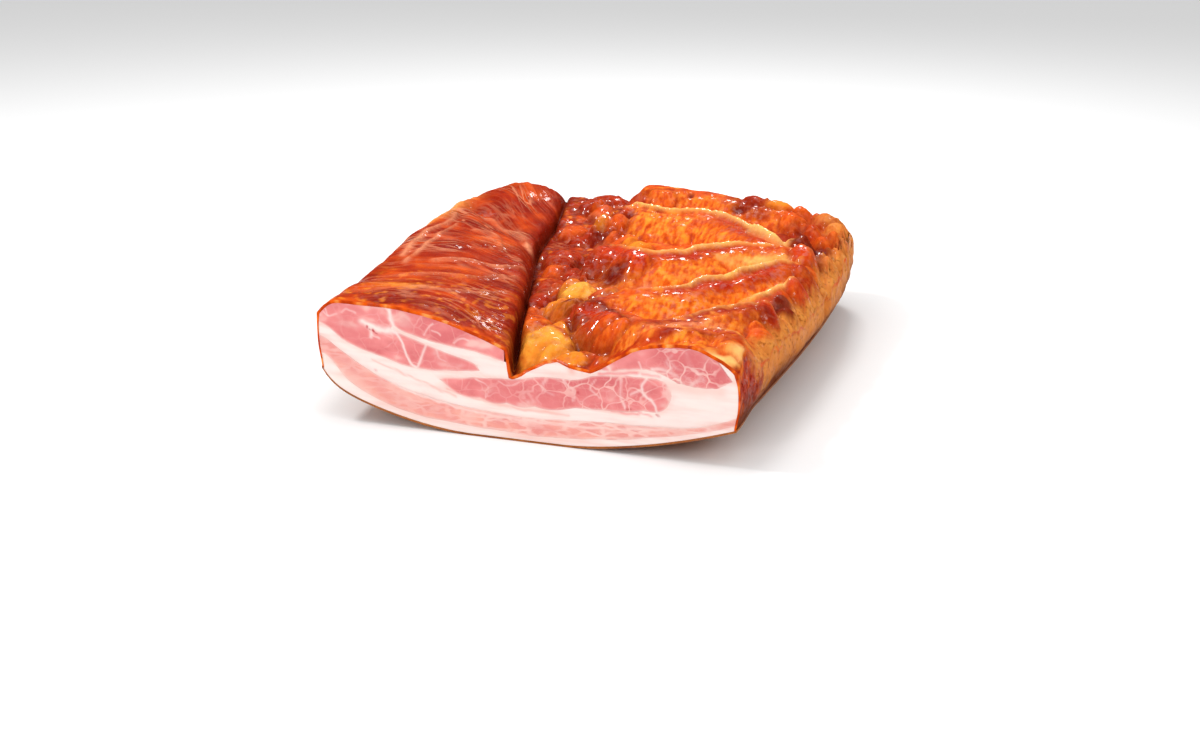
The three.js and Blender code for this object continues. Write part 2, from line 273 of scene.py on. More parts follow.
# Lumps of fat and meat: place, half width, half depth, rise, turn in degrees and colour
LUMPS = [
    (4, -62, 15, 17, 9, 10, "yellow"),
    (-8, -52, 12, 16, 4, 0, "orange"),
    (14, -160, 24, 26, 9, 20, "gold"),
    (-2, -136, 14, 22, 5, 10, "orange"),
    (1, -98, 11, 14, 5, 0, "gold"),
    (12, -108, 12, 12, 5, 0, "gold"),
    (-18, -82, 10, 17, 4, 0, "red"),
    (-22, -46, 10, 16, 4, 0, "red"),
    (-14, -110, 9, 16, 3, 0, "orange"),
    (34, -180, 16, 10, 3, 0, "gold"),
    (46, -149, 17, 14, 4, 20, "gloss"),
    (58, -160, 13, 12, 5, 0, "orange"),
    (-35, 21, 16, 20, 7, 0, "red"),
    (-31, -10, 11, 15, 4, 0, "orange"),
    (-15, -12, 12, 14, 4, 0, "red"),
    (1, -12, 13, 13, 4, 0, "red"),
    (-42, 136, 13, 17, 7, 20, "orange"),
    (-30, 113, 9, 14, 6, 0, "gold"),
    (-31, 92, 9, 12, 6, 0, "gold"),
    (-52, 92, 13, 17, 6, 0, "orange"),
    (-37, 73, 13, 13, 5, 0, "red"),
    (-21, 72, 12, 12, 5, 0, "maroon"),
    (-17, 90, 9, 12, 5, 0, "orange"),
    (-6, 66, 15, 15, 6, 0, "orange"),
    (10, 56, 13, 12, 5, 0, "gold"),
    (-47, 176, 18, 14, 4, 0, "red"),
    (-54, 152, 14, 16, 6, 0, "red"),
    (-20, 140, 14, 17, 5, 0, "red"),
    (2, 148, 13, 14, 4, 0, "orange"),
    (30, -92, 13, 14, 5, 0, "gloss"),
    (28, -24, 16, 15, 4, 0, "gloss"),
    (106, 102, 15, 15, 6, 0, "red"),
    (138, 152, 15, 16, 8, 0, "side"),
    (150, 132, 15, 14, 9, 0, "side"),
    (156, 107, 13, 14, 9, 0, "side"),
    (158, 80, 12, 15, 8, 0, "side"),
    (142, 101, 12, 12, 8, 0, "orange"),
    (124, 122, 14, 14, 6, 0, "red"),
    (112, 136, 12, 12, 5, 0, "orange"),
    (135, 72, 17, 20, 10, 0, "maroon"),
    (152, 56, 11, 13, 6, 0, "side"),
    (141, 32, 12, 12, 6, 0, "gloss"),
    (-110, 166, 34, 30, 5, 0, None),
    (140, -187, 17, 15, -9, 0, None),
    (144, -166, 12, 12, 4, 0, None),
    (147, -62, 10, 12, 6, 0, "maroon"),
    (149, -30, 10, 13, 6, 0, "gloss"),
    (150, -4, 10, 12, 6, 0, "red"),
    (145, -92, 11, 13, 4, 0, "gloss"),
    (144, -118, 11, 12, 4, 0, "orange"),
    (96, 163, 14, 11, 4, 0, "gold"),
    (118, 156, 12, 12, 4, 0, "orange"),
    (76, 166, 12, 10, 3, 0, "red"),
]

# Hollows of the top: place, half width, half depth and depth
PITS = [
    (-7, 22, 7, 8, 4),
    (-12, 104, 8, 10, 5),
    (24, 160, 3, 6, 2),
    (66, 150, 11, 8, 3),
    (142, 44, 8, 8, 4),
    (20, -32, 15, 12, 3),
]

# Soft strokes over the top: colour, half width, strength, rise and path
STROKES = [
    ("peach", 7, 0.9, 0.6, [(-152, 2), (-151, 24), (-149, 44)]),
    ("peach", 11, 1.1, 0.8, [(-152, 56), (-156, 84), (-157, 100)]),
    ("peach", 8, 0.8, 0.6, [(-157, 112), (-154, 134)]),
    ("membrane", 2.5, 0.9, 1.2, [(-122, -70), (-130, -30), (-133, 10), (-132, 40), (-140, 66)]),
    ("membrane", 2, 0.7, 1.0, [(-114, -84), (-118, -40), (-122, 0), (-124, 30)]),
    ("deep", 8, 0.6, -0.8, [(-126, -160), (-122, -130), (-122, -90)]),
    ("deep", 6, 0.5, -1, [(-126, 0), (-129, 40), (-137, 74)]),
    ("membrane", 3, 0.4, 1.4, [(-101, -120), (-84, -104), (-60, -90), (-42, -62)]),
    ("membrane", 3, 0.5, 1.6, [(-98, -72), (-80, -57), (-58, -52), (-45, -38)]),
    ("membrane", 3, 0.6, 1.6, [(-124, 76), (-114, 78), (-100, 61), (-78, 43), (-60, 16)]),
    ("membrane", 3, 0.35, 1, [(-70, -142), (-50, -132), (-30, -112)]),
    ("membrane", 3, 0.4, 1, [(-104, 20), (-86, 14), (-70, -14)]),
    ("deep", 6, 0.5, -1.2, [(-94, -30), (-76, -12), (-60, -22)]),
    ("deep", 8, 0.6, -1.5, [(-118, 106), (-104, 74), (-82, 56)]),
    ("deep", 9, 0.5, 0, [(-130, 120), (-112, 112), (-92, 128)]),
    ("deep", 8, 0.4, -0.6, [(-80, -118), (-62, -106), (-46, -84)]),
    ("gold", 5, 0.45, 0.4, [(-108, -150), (-90, -146), (-72, -140)]),
    ("orange", 9, 0.7, 0.5, [(-94, -2), (-84, 4), (-74, 0)]),
    ("orange", 6, 0.6, 0.3, [(-96, -88), (-80, -78), (-64, -76)]),
    ("orange", 11, 0.6, 0.6, [(-128, 166), (-108, 150)]),
    ("deep", 8, 0.6, 0, [(-70, -172), (-44, -172), (-18, -166)]),
    ("deep", 9, 0.4, 0, [(-30, -150), (-36, -112), (-44, -76)]),
    ("deep", 10, 0.5, 0, [(-82, 120), (-74, 96), (-70, 60)]),
    ("cream", 6, 1, 1.6, [(94, 84), (106, 72), (116, 64)]),
    ("deep", 9, 0.8, 0, [(60, 164), (72, 156), (84, 146)]),
    ("deep", 9, 0.8, 0.6, [(94, 122), (108, 112), (120, 104)]),
    ("crest", 4, 0.5, 0.6, [(84, 8), (98, 12), (112, 18), (128, 22)]),
    ("membrane", 5, 0.6, 0.6, [(46, -46), (62, -54), (78, -56)]),
    ("pinkish", 7, 0.6, 0.5, [(70, -146), (88, -132), (102, -112), (118, -92)]),
    ("deep", 6, 0.5, -0.6, [(80, -164), (94, -150), (106, -136)]),
    ("pinkish", 5, 0.5, 0.4, [(88, -166), (100, -150), (112, -136), (128, -136)]),
    ("deep", 7, 0.55, 0, [(122, -112), (134, -102), (144, -100)]),
    ("deep", 5, 0.6, 0, [(96, -178), (110, -166), (122, -160), (132, -162)]),
    ("cream", 5, 0.9, 0.5, [(129, -187), (137, -183), (142, -172)]),
    ("orange", 1.6, 0.6, -0.4, [(131, -180), (139, -177), (144, -178)]),
    ("maroon", 3, 0.9, -0.6, [(2, -168), (7, -166), (13, -167)]),
    ("yellow", 12, 0.6, 0, [(12, -168), (20, -164), (28, -166)]),
    ("red", 2.5, 0.7, 0, [(4, -150), (12, -147), (22, -152), (30, -160)]),
    ("amber", 9, 0.7, 0, [(6, -36), (16, -40), (30, -40)]),
    ("gloss", 9, 0.9, 0.8, [(0, 2), (12, -4), (26, -14), (34, -26)]),
    ("yellow", 6, 0.7, 0.6, [(40, -70), (50, -70), (60, -68)]),
    ("maroon", 4, 0.8, 0, [(12, -112), (30, -117), (50, -130), (62, -144)]),
]
STROKES = [(*looks, line_through(path, 4)) for *looks, path in STROKES]

GROOVE = line_through([(2, FRONT - 6), (1, FRONT + 12), (-33, -57), (-61, 37), (-75, 118), (-90, BACK + 6)])


def groove_middle(y):
    """Where the groove's bottom runs, as x."""
    return np.interp(y, GROOVE[:, 1], GROOVE[:, 0])


def reach_of(x, y, cx, cy, rx, ry, turn=0.0):
    """Distance from a lump's middle as a share of its size."""
    a = math.radians(turn)
    u = (x - cx) * math.cos(a) + (y - cy) * math.sin(a)
    v = (y - cy) * math.cos(a) - (x - cx) * math.sin(a)
    return np.hypot(u / rx, v / ry)


def dome(reach):
    return np.maximum(1 - reach**2, 0) ** 0.75


def lobe_height(x, y, beside):
    """Height of the lobe, beside being the distance from the groove."""
    t = depth_share(y)
    fall = 11 + 11 * (1 - smooth(0, 0.22, t))
    far_corner = 9 * smooth(0.7, 1, t) * smooth(40, 80, beside)
    level = LOBE_HEIGHT - 3 * smooth(0.1, 0.4, t) - far_corner
    waves = 1.5 * np.sin(y / 31 - x / 60) * smooth(0, 0.15, t)
    return level - fall * (1 - np.clip(beside / 90, 0, 1)) ** 1.9 + waves


def value_along(values, along):
    """Reads a list of values, given in equal steps along a line, at a share of the way."""
    return np.interp(along, np.linspace(0, 1, len(values)), values)


def ridge_height(x, y):
    """Rise of the highest ridge at each point, with the masks that its colours follow."""
    highest, pale, red, face = np.zeros((4, *x.shape))
    for ridge in RIDGES:
        gap, side, along = nearest(ridge["line"], x, y)
        in_front = side < 0
        ends = smooth(0, ridge["start"], along) * (1 - ridge["fade"] * along)
        ends = ends * (1 - 0.4 * smooth(0.88, 1, along))
        paleness = value_along(ridge["pale"], along)
        near = mix(*ridge["face"], along)
        t = np.clip(gap / near, 0, 1)
        front = 0.4 * (1 - smooth(0, 1, t)) + 0.6 * np.sqrt(1 - t * t)
        behind = 1 - smooth(-0.15, 1, gap / ridge["back"])
        shape = ridge["rise"] * ends * np.where(in_front, front, behind)
        lip = np.where(in_front, bell(gap, 2.0), bell(gap, 6.0))
        shape = shape + ends * paleness * (2.8 * lip - 2.2 * bell(gap - 5.5, 3.2) * in_front)
        shape = shape + ends * 2.0 * bell(gap - 0.5 * near, 0.3 * near) * in_front
        on_top = shape > highest
        highest = np.where(on_top, shape, highest)
        crest = paleness * ends * np.where(in_front, bell(gap, 2.2), bell(gap, 9.0))
        band = smooth(1.2, 3.2, gap) * (1 - smooth(mix(10, 13, along), mix(17, 22, along), gap))
        band = value_along(ridge["red"], along) * ends * band * in_front
        pale = np.where(on_top, crest, pale)
        red = np.where(on_top, band, red)
        face = np.where(on_top, ends * smooth(6, 14, gap) * in_front * (gap < near), face)
    return highest, pale, red, face


# The top's outline at the cut, right of the groove, as (x, z)
CUT_LINE = [
    (2, 44), (9, 45.5), (15, 49), (25, 54.5), (33, 56.6), (41, 53.4), (47, 52.2), (54, 51.8), (60, 55),
    (66, 59), (72, 62.7), (79, 67.2), (85, 69.6), (91, 71.1), (97, 72.1), (103, 72.7), (109, 73.3),
    (115, 73.3), (121, 72.4), (125, 70.7), (129, 68.4), (133, 66.6), (138, 65.8), (142, 66), (146, 66),
]


def right_height(x, y, beside):
    """Height of the strip beside the groove and of the field, without the ridges."""
    t = depth_share(y)
    near_cut = 1 - smooth(0, 0.12, t)
    field = mix(STRIP_HEIGHT, FIELD_HEIGHT, smooth(45, 80, beside))
    rise = 10 * near_cut * smooth(58, 88, x) + 11 * smooth(0.72, 0.97, t) * (1 - smooth(30, 110, beside))
    dip = 8 * near_cut * (1 - smooth(6, 44, beside))
    return field + rise - dip


def add_lumps(ground, x, y, on_lobe):
    """Adds the lumps, the pits and the creases, and gives the rings round the lumps that take painted shade.
    """
    ring_shade = np.zeros(x.shape)
    for cx, cy, rx, ry, rise, turn, name in LUMPS:
        reach = reach_of(x, y, cx, cy, rx, ry, turn)
        if not name:
            ground = ground + rise * (1 - smooth(0, 1, reach))
            continue
        ring = bell(reach - 1.02, 0.16)
        ring_shade = np.maximum(ring_shade, ring)
        ground = ground + (rise * dome(reach) - 1.3 * ring) * ~on_lobe
    for cx, cy, rx, ry, depth in PITS:
        ground = ground - depth * (1 - smooth(0, 1, reach_of(x, y, cx, cy, rx, ry)))
    for line, depth, reach in CREASES:
        ground = ground - depth * (1 - smooth(0, 1, line_gap(line, x, y, reach) / reach))
    return ground, ring_shade * ~on_lobe


def flow_across(x, y, beside):
    """A coordinate across the threads of membrane, which slant over the lobe and bend down to the groove."""
    slant = 0.5 * smooth(-20, 60, y) - 0.55 * (1 - smooth(-60, 40, y))
    return y + slant * (x + 130) + 46 * smooth(-60, 0, beside)


def add_roughness(ground, x, y, masks):
    """Adds the strokes' rise, the lobe's wrinkles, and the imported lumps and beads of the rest."""
    for _, width, _, rise, line in STROKES:
        if rise:
            ground = ground + rise * bell(line_gap(line, x, y, 2 * width), width * 0.7)
    flow = flow_across(x, y, masks["beside"])
    still = x * 0
    wander = grain(x, y, still, 9.0, 2, 9.1)
    wrinkles = 1.5 * grain(x, flow, still, (60, 19, 1), 3, 1.7)
    wrinkles = wrinkles + 0.6 * grain(x, flow, still, (30, 6, 1), 2, 5.1)
    packed = pillows(x + 5 * wander, y - 5 * wander, (15, 22), 2.0)
    small = pillows(x - 4 * wander, y + 4 * wander, (7, 11), 5.0)
    lumpy = masks["strip"] * (packed + 0.6 * small - 1.0) + 1.2 * grain(x, y, still, 13.0, 3, 3.3)
    fleck = pillows(x - 0.3 * y + 4 * wander, y + 3 * wander, (6.5, 12), 7.0)
    fleck = fleck * (0.65 + 0.7 * grain(x, y, still, 22, 2, 1.9))
    smear = 0.7 * grain(x - 0.3 * y, y, still, (3.5, 9, 1), 3, 4.9)
    beads = masks["field"] * (0.2 + 0.8 * masks["face"]) * (1 - masks["red"])
    beads = beads * (0.8 * fleck - 0.4 + 0.8 * smear)
    masks.update(packed=packed, small=small, fleck=fleck, flow=flow, smear=smear)
    calm = smooth(0, 6, y - FRONT) * 0.8 + 0.2
    return ground + np.where(masks["lobe"] > 0, wrinkles, lumpy + beads) * calm


def top(x, y, fine=True):
    """Height of the top, and the masks for its colours. The coarse one has no strokes or roughness."""
    at = np.clip(y, FRONT, BACK)
    beside = x - groove_middle(at)
    on_lobe = beside < 0
    ridged, pale, red, face = ridge_height(x, at)
    ridged = ridged * (0.3 + 0.7 * smooth(1, 18, right_wall(at) - x))
    ground = np.where(on_lobe, lobe_height(x, at, -beside), right_height(x, at, beside) + ridged)
    ground, ring_shade = add_lumps(ground, x, at, on_lobe)
    at_cut = ~on_lobe * (1 - smooth(0, 15, at - FRONT))
    ground = mix(ground, np.interp(x, *np.transpose(CUT_LINE)), at_cut)
    field = ~on_lobe * smooth(40, 75, beside)
    masks = dict(lobe=on_lobe * 1.0, beside=beside, pale=pale, red=red, face=face, ring_shade=ring_shade, field=field)
    masks["strip"] = ~on_lobe - field
    if fine:
        ground = add_roughness(ground, x, at, masks)
    t = depth_share(at)
    floor = GROOVE_FLOOR - 1 + 12 * smooth(0.02, 0.2, t) + 10 * smooth(0.75, 1, t)
    shoulder = 6 * smooth(0, 0.06, t) * np.maximum(1 + beside / 10, 0) ** 2
    ground = ground - on_lobe * shoulder
    wavy = smooth(0, 25, at - FRONT) * (np.sin(at / 9.5 + 1.3 * np.sin(at / 23)) + np.sin(at / 5.3 + 2))
    lobe_side = smooth(0.1, 1, -beside / (3.2 + 0.8 * wavy))
    field_side = 1 - np.maximum(1 - beside / (mix(9, 4, smooth(0, 0.15, t)) + wavy), 0) ** 1.7
    height = mix(floor, ground, np.where(on_lobe, lobe_side, field_side))
    inside = np.minimum(np.minimum(x - left_wall(at), right_wall(at) - x), back_wall(x) - y)
    round_off = 1 - np.clip(inside / EDGE_ROUND, 0, 1)
    return np.minimum(height - EDGE_DROP * round_off**2, HIGHEST), masks


# Lines between the layers on the front cut, as (x, z)

SKIN_TOP = [
    (-148, 46), (-127, 44.5), (-119, 40), (-107, 27), (-88, 17), (-60, 9.3), (-33, 7), (8, 4.8), (34, 5.2),
    (66, 8.5), (100, 14), (126, 20.5), (145, 27), (162, 33),
]
STREAK_TOP = [
    (-148, 57), (-126, 55.8), (-110, 46), (-87, 33), (-59, 23.8), (-32, 19.2), (8, 16.3), (34, 17.3),
    (60, 19), (98, 20.2), (122, 23), (145, 32), (162, 39),
]
MIDDLE_TOP = [
    (-45, 35), (-38, 36.6), (-18, 39.2), (5, 40.4), (22, 44), (44, 44.4), (58, 48.6), (78, 50.4), (97, 50.2),
    (102.5, 46), (104.5, 41),
]
MIDDLE_LOW = [
    (-45, 35), (-32, 28), (-5, 24.6), (28, 24.6), (60, 28.2), (85, 29.2), (99, 31.8), (103, 36), (104.5, 41),
]
LEFT_LOW = [
    (-150, 67), (-126, 64.7), (-107, 52.8), (-82, 45.4), (-60, 40.4), (-35, 41.8), (-17, 43.4),
    (-8, 46), (4, 49),
]
SEAM_LOW = [(-76, 65), (-74, 63.6), (-62, 59.8), (-40, 53), (-22, 48.2), (-17, 43), (-12, 40), (8, 38)]
SEAM_TOP = [(-76, 65.6), (-74, 66.6), (-67, 63.6), (-44, 58), (-21, 55.6), (-3, 51.5), (8, 50)]
RIGHT_LOW = [(58, 51.8), (72, 53), (86, 55.4), (98, 54), (110, 48.8), (131, 48.6), (141, 54)]
MIDDLE_ENDS = -45.0, 104.5


def along_line(points, x):
    line = line_through(points)
    return np.interp(x, line[:, 0], line[:, 1])


def ripple(x, size, seed):
    return 0.6 * grain(x, x * 0, x * 0, size, 3, seed)


def skin_top(x):
    return along_line(SKIN_TOP, x) + ripple(x, 17.0, 1.3)


def streak_top(x):
    return along_line(STREAK_TOP, x) + ripple(x, 15.0, 4.1)


def from_middle_ends(x):
    return np.minimum(x - MIDDLE_ENDS[0], MIDDLE_ENDS[1] - x)


def middle_top(x):
    return along_line(MIDDLE_TOP, x) + ripple(x, 12.0, 7.9) * smooth(0, 6, from_middle_ends(x))


def middle_low(x):
    scallop = 1.6 * np.abs(np.sin(x / 8.2 + 1.2 * np.sin(x / 19)))
    return along_line(MIDDLE_LOW, x) - scallop * smooth(0, 10, from_middle_ends(x))


def left_low(x):
    return along_line(LEFT_LOW, x) + ripple(x, 13.0, 9.7)


def seam_low(x):
    return along_line(SEAM_LOW, x)


def seam_top(x):
    return along_line(SEAM_TOP, x) + ripple(x, 12.0, 3.9) * smooth(-74, -60, x)


def right_low(x):
    return along_line(RIGHT_LOW, x) + 1.5 * ripple(x, 7.0, 2.9)


# Where a point of a piece lies in the slab


def wall_bulge(x, y, z, down):
    """How far the walls swell out, less the right wall's two creases. down is the share of the way down."""
    crease = 6.5 * bell(y - 14 - 0.35 * (z - 45), 6.0) + 3.5 * bell(y - 98 + 0.2 * (z - 45), 5.0)
    crease = crease * (x > 60) * smooth(0, 0.12, down)
    swell = 1.8 * grain(x, y, z, 38.0, 2, 6.6) + 0.5 * grain(x, y, z, 9.0, 2, 8.8)
    return (swell - crease) * smooth(0, 0.1, down) * smooth(1, 0.75, down) * smooth(0, 8, y - FRONT)


def crust_places(part, u, v, w):
    """Points of a crust sheet: u and v run across its top, and w runs down its walls from 0 to -1."""
    s, t = (u + 1) / 2, (v + 1) / 2
    t = 0.8 * t + 0.2 * t * t
    y0 = mix(FRONT, BACK, t)
    middle = groove_middle(y0)

    def across(low, high):
        if part == "lobe":
            return mix(low, middle, 1 - (1 - s) ** 1.2)
        return mix(middle, high, s**1.12)

    # The top's height and the walls' curl depend on each other, so a coarse top comes first
    high = np.full(y0.shape, 60.0)
    for fine in (False, False, True):
        level = high
        _, lean_left, lean_right = wall_curl(y0, level)
        x_top = across(left_wall(y0) + lean_left, right_wall(y0) - lean_right)
        y_top = mix(FRONT, back_wall(x_top), t)
        z_top, masks = top(x_top, y_top, fine)
        high = z_top - bottom(x_top, y_top)
    foot, lean_left, lean_right = wall_curl(y0, (1 + w) * level)
    x = across(left_wall(y0) + foot + lean_left, right_wall(y0) - foot - lean_right)
    y = mix(FRONT, back_wall(x) - foot, t)
    z = mix(bottom(x, y) + ABOVE_RIND, z_top, 1 + w)
    on_wall = w < 0
    bulge = np.zeros(x.shape)
    bulge[on_wall] = wall_bulge(x[on_wall], y[on_wall], z[on_wall], -w[on_wall])
    on_side = np.abs(u) > AT_EDGE
    x = np.clip(x + np.sign(u) * on_side * bulge, -WIDTH / 2, WIDTH / 2)
    y = np.minimum(y + ((v > AT_EDGE) & ~on_side) * bulge, BACK)
    masks.update(wall=on_wall * 1.0, down=-w)
    return np.column_stack([x, y, z]), masks


def wall_reach(z):
    """Left and right end of a layer at height z on the cut, just inside the crust."""
    foot, lean, _ = wall_curl(FRONT, np.maximum(z - bottom(FRONT_LEFT, FRONT), 0))
    left = left_wall(FRONT) + foot + lean + INSET
    foot, _, lean = wall_curl(FRONT, np.maximum(z - RIGHT_RISE, 0))
    return left, right_wall(FRONT) - foot - lean - INSET


def settle(x, t, z):
    """Carries a point of the front cut back through the slab by the share t of its depth."""
    inside = np.clip(t, 0, 1)
    y0 = mix(FRONT, BACK, inside)
    groove, here = groove_middle(FRONT), groove_middle(y0)
    on_lobe = x < groove
    share = np.where(on_lobe, (x - FRONT_LEFT) / (groove - FRONT_LEFT), (x - groove) / (FRONT_RIGHT - groove))
    moved = np.where(on_lobe, mix(left_wall(y0), here, share), mix(here, right_wall(y0), share))
    above = (z - bottom(x, FRONT)) * mix(1, 0.86, smooth(0, 0.3, t))
    share_up = np.clip(above / 62, 0, 1)
    deep = smooth(0, 12, y0 - FRONT)
    height = bottom(moved, y0) + above + deep * (3.5 - 8.5 * share_up)
    x_out = moved - deep * 7 * (moved / 160) ** 3
    y_out = mix(FRONT + RECESS, back_wall(moved) - 7, inside) + OVERSHOOT * (t - inside)
    return np.column_stack([x_out, y_out, height])


# Mesh making


def box_grid(columns, rows, slices):
    """A cube from -1 to 1, cut into columns along X, rows along Z and the given number of slices along Y."""
    bm = bmesh.new()
    bmesh.ops.create_cube(bm, size=2)
    for axis, parts in ((0, columns), (2, rows), (1, slices)):
        edges = [e for e in bm.edges if abs(e.verts[0].co[axis] - e.verts[1].co[axis]) > 1.9]
        if parts > 1:
            bmesh.ops.subdivide_edges(bm, edges=edges, cuts=parts - 1, use_grid_fill=True)
    return bm


def sheet_with_walls(columns, rows, wall_rows, open_side):
    """An open cap: a grid whose back edge and the edge away from open_side are drawn down into walls."""

    def stays(edge):
        at_front = all(v.co.y < -AT_EDGE for v in edge.verts)
        return at_front or all(v.co.x * open_side > AT_EDGE for v in edge.verts)

    bm = bmesh.new()
    bmesh.ops.create_grid(bm, x_segments=columns, y_segments=rows, size=1)
    rim = [e for e in bm.edges if e.is_boundary and not stays(e)]
    for _ in range(wall_rows):
        made = bmesh.ops.extrude_edge_only(bm, edges=rim)["geom"]
        fresh = {g for g in made if isinstance(g, bmesh.types.BMVert)}
        bmesh.ops.translate(bm, verts=list(fresh), vec=(0, 0, -1 / wall_rows))
        rim = [g for g in made if isinstance(g, bmesh.types.BMEdge) and set(g.verts) <= fresh]
    return bm


def shape_sheet(bm, part):
    """Moves a flat sheet's points to their places in the slab, and keeps the old ones in a layer."""
    layer = bm.verts.layers.float_vector.new("place")
    for v in bm.verts:
        v[layer] = v.co
    place = np.array([v.co[:] for v in bm.verts])
    shell, masks = crust_places(part, *place.T)
    for v, point in zip(bm.verts, shell * MM):
        v.co = point
    bmesh.ops.recalc_face_normals(bm, faces=bm.faces)
    if sum(f.normal.z for f in bm.faces) < 0:
        bmesh.ops.reverse_faces(bm, faces=bm.faces)
    return place, shell, masks


def read_points(mesh, attribute=None):
    source = mesh.attributes[attribute].data if attribute else mesh.vertices
    values = np.empty(len(mesh.vertices) * 3, np.float32)
    source.foreach_get("vector" if attribute else "co", values)
    return values.reshape(-1, 3).astype(float)


def write_points(mesh, points):
    mesh.vertices.foreach_set("co", (points * MM).astype(np.float32).ravel())
    mesh.update()


def new_piece(name, bm):
    mesh = bpy.data.meshes.new(name)
    bm.to_mesh(mesh)
    bm.free()
    piece = bpy.data.objects.new(name, mesh)
    bpy.context.collection.objects.link(piece)
    return piece


def shade_smooth(piece):
    piece.data.polygons.foreach_set("use_smooth", [True] * len(piece.data.polygons))


ATTRIBUTE_KINDS = {1: ("FLOAT", "value"), 3: ("FLOAT_VECTOR", "vector"), 4: ("FLOAT_COLOR", "color")}


def store(mesh, name, values):
    """Keeps a number, a vector or a colour with its alpha for each point."""
    values = np.asarray(values, np.float32).reshape(len(mesh.vertices), -1)
    kind, key = ATTRIBUTE_KINDS[values.shape[1]]
    mesh.attributes.new(name, kind, "POINT").data.foreach_set(key, values.ravel())


def store_tint(mesh, tint):
    store(mesh, "tint", np.column_stack([tint, np.ones(len(tint))]))


def cut_away(piece, tool):
    """Takes the tool's volume out of the piece, then deletes the tool."""
    modifier = piece.modifiers.new("cut", "BOOLEAN")
    modifier.operation = "DIFFERENCE"
    modifier.solver = "MANIFOLD"
    modifier.object = tool
    graph = bpy.context.evaluated_depsgraph_get()
    mesh = bpy.data.meshes.new_from_object(piece.evaluated_get(graph))
    piece.modifiers.clear()
    old = piece.data
    piece.data = mesh
    bpy.data.meshes.remove(old)
    piece.data.name = piece.name
    bpy.data.objects.remove(tool)


def keep_covered(points, t):
    """Lowers the points of a layer that would come too near to the crust, or stand out of it."""
    x, y, z = points.T
    reach = 22 * smooth(0, 0.3, t)
    around = [top(x, y + share * reach, fine=False)[0] for share in (-1, -0.5, 0, 0.5, 1)]
    cover = np.maximum(np.minimum.reduce(around) - UNDER_TOP, 30)
    return np.column_stack([x, y, np.where(y > FRONT + 3, np.minimum(z, cover), z)])


def layer_piece(name, low, high, ends, columns, rows, over=0.0, round_ends=False):
    """A layer between two outlines of the cut, drawn through the slab. over lengthens it at both ends."""
    piece = new_piece(name, box_grid(columns, rows, SLICES))
    s, t, up = (read_points(piece.data).T + 1) / 2
    if round_ends:
        s = 0.5 - 0.5 * np.cos(math.pi * s)
    z = np.full(s.shape, 40.0)
    for _ in range(4):
        x = mix(*ends(z), s)
        low_z = low(x)
        z = mix(low_z, np.maximum(high(x), low_z + THINNEST), up)
    t = mix(-over, 1 + over, t**2.2)
    points = settle(x, t, z)
    write_points(piece.data, points if over else keep_covered(points, t))
    shade_smooth(piece)
    return piece


def dress(piece, material, slot_name, *nodes):
    piece.data.materials.clear()
    piece.data.materials.append(material)
    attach(piece, "root")
    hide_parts(*nodes)


# Materials


class Nodes:
    """Makes nodes in one tree. What feeds a socket is a number, a colour or another node's socket."""

    def __init__(self, tree):
        self.tree = tree

    def feed(self, socket, value):
        if isinstance(value, bpy.types.NodeSocket):
            self.tree.links.new(value, socket)
        else:
            socket.default_value = value

    def add(self, kind, inputs, **settings):
        made = self.tree.nodes.new(kind)
        for name, value in settings.items():
            setattr(made, name, value)
        for name, value in inputs.items():
            self.feed(made.inputs[name], value)
        return made.outputs

    def maths(self, operation, a, b, clamp=False):
        return self.add("ShaderNodeMath", {0: a, 1: b}, operation=operation, use_clamp=clamp)[0]

    def plus(self, a, b):
        return self.maths("ADD", a, b)

    def minus(self, a, b, clamp=False):
        return self.maths("SUBTRACT", a, b, clamp)

    def times(self, product, *others, clamp=False):
        for value in others:
            product = self.maths("MULTIPLY", product, value, clamp)
        return product

    def ramp(self, value, low, high, out_low=0.0, out_high=1.0):
        inputs = {"Value": value, "From Min": low, "From Max": high, "To Min": out_low, "To Max": out_high}
        return self.add("ShaderNodeMapRange", inputs, interpolation_type="SMOOTHSTEP")["Result"]

    def mixed(self, factor, a, b, blend="MIX"):
        return self.add("ShaderNodeMix", {0: factor, 6: a, 7: b}, data_type="RGBA", blend_type=blend)[2]

    def tinted(self, colour, red, green, blue):
        return self.mixed(1.0, colour, (red, green, blue, 1), "MULTIPLY")

    def channel(self, colour, index):
        return self.add("ShaderNodeSeparateColor", {0: colour})[index]

    def attribute(self, name, output="Fac"):
        return self.add("ShaderNodeAttribute", {}, attribute_name=name)[output]

    def vectors(self, operation, inputs):
        return self.add("ShaderNodeVectorMath", inputs, operation=operation)[0]

    def stretched(self, place, scale):
        return self.add("ShaderNodeMapping", {"Vector": place, "Scale": scale})[0]

    def cloud(self, place, size, detail, output=0):
        return self.add("ShaderNodeTexNoise", {"Vector": place, "Scale": size, "Detail": detail})[output]

    def group(self, name, place, **inputs):
        """A shared node group, built when it is first needed and placed with its own values."""
        if name not in bpy.data.node_groups:
            GROUP_MAKERS[name](name)
        return self.add("ShaderNodeGroup", {"Vector": place, **inputs}, node_tree=bpy.data.node_groups[name])

    def blotches(self, place, size, low, high):
        return self.group("Blotches", place, Size=size, From=low, To=high)["Mask"]

    def veins(self, place, size, width, warp):
        return self.group("Thin Veins", place, Size=size, Width=width, Warp=warp)

    def moist(self, place, size, dry, wet):
        return self.group("Moist Grain", place, Size=size, Dry=dry, Wet=wet)


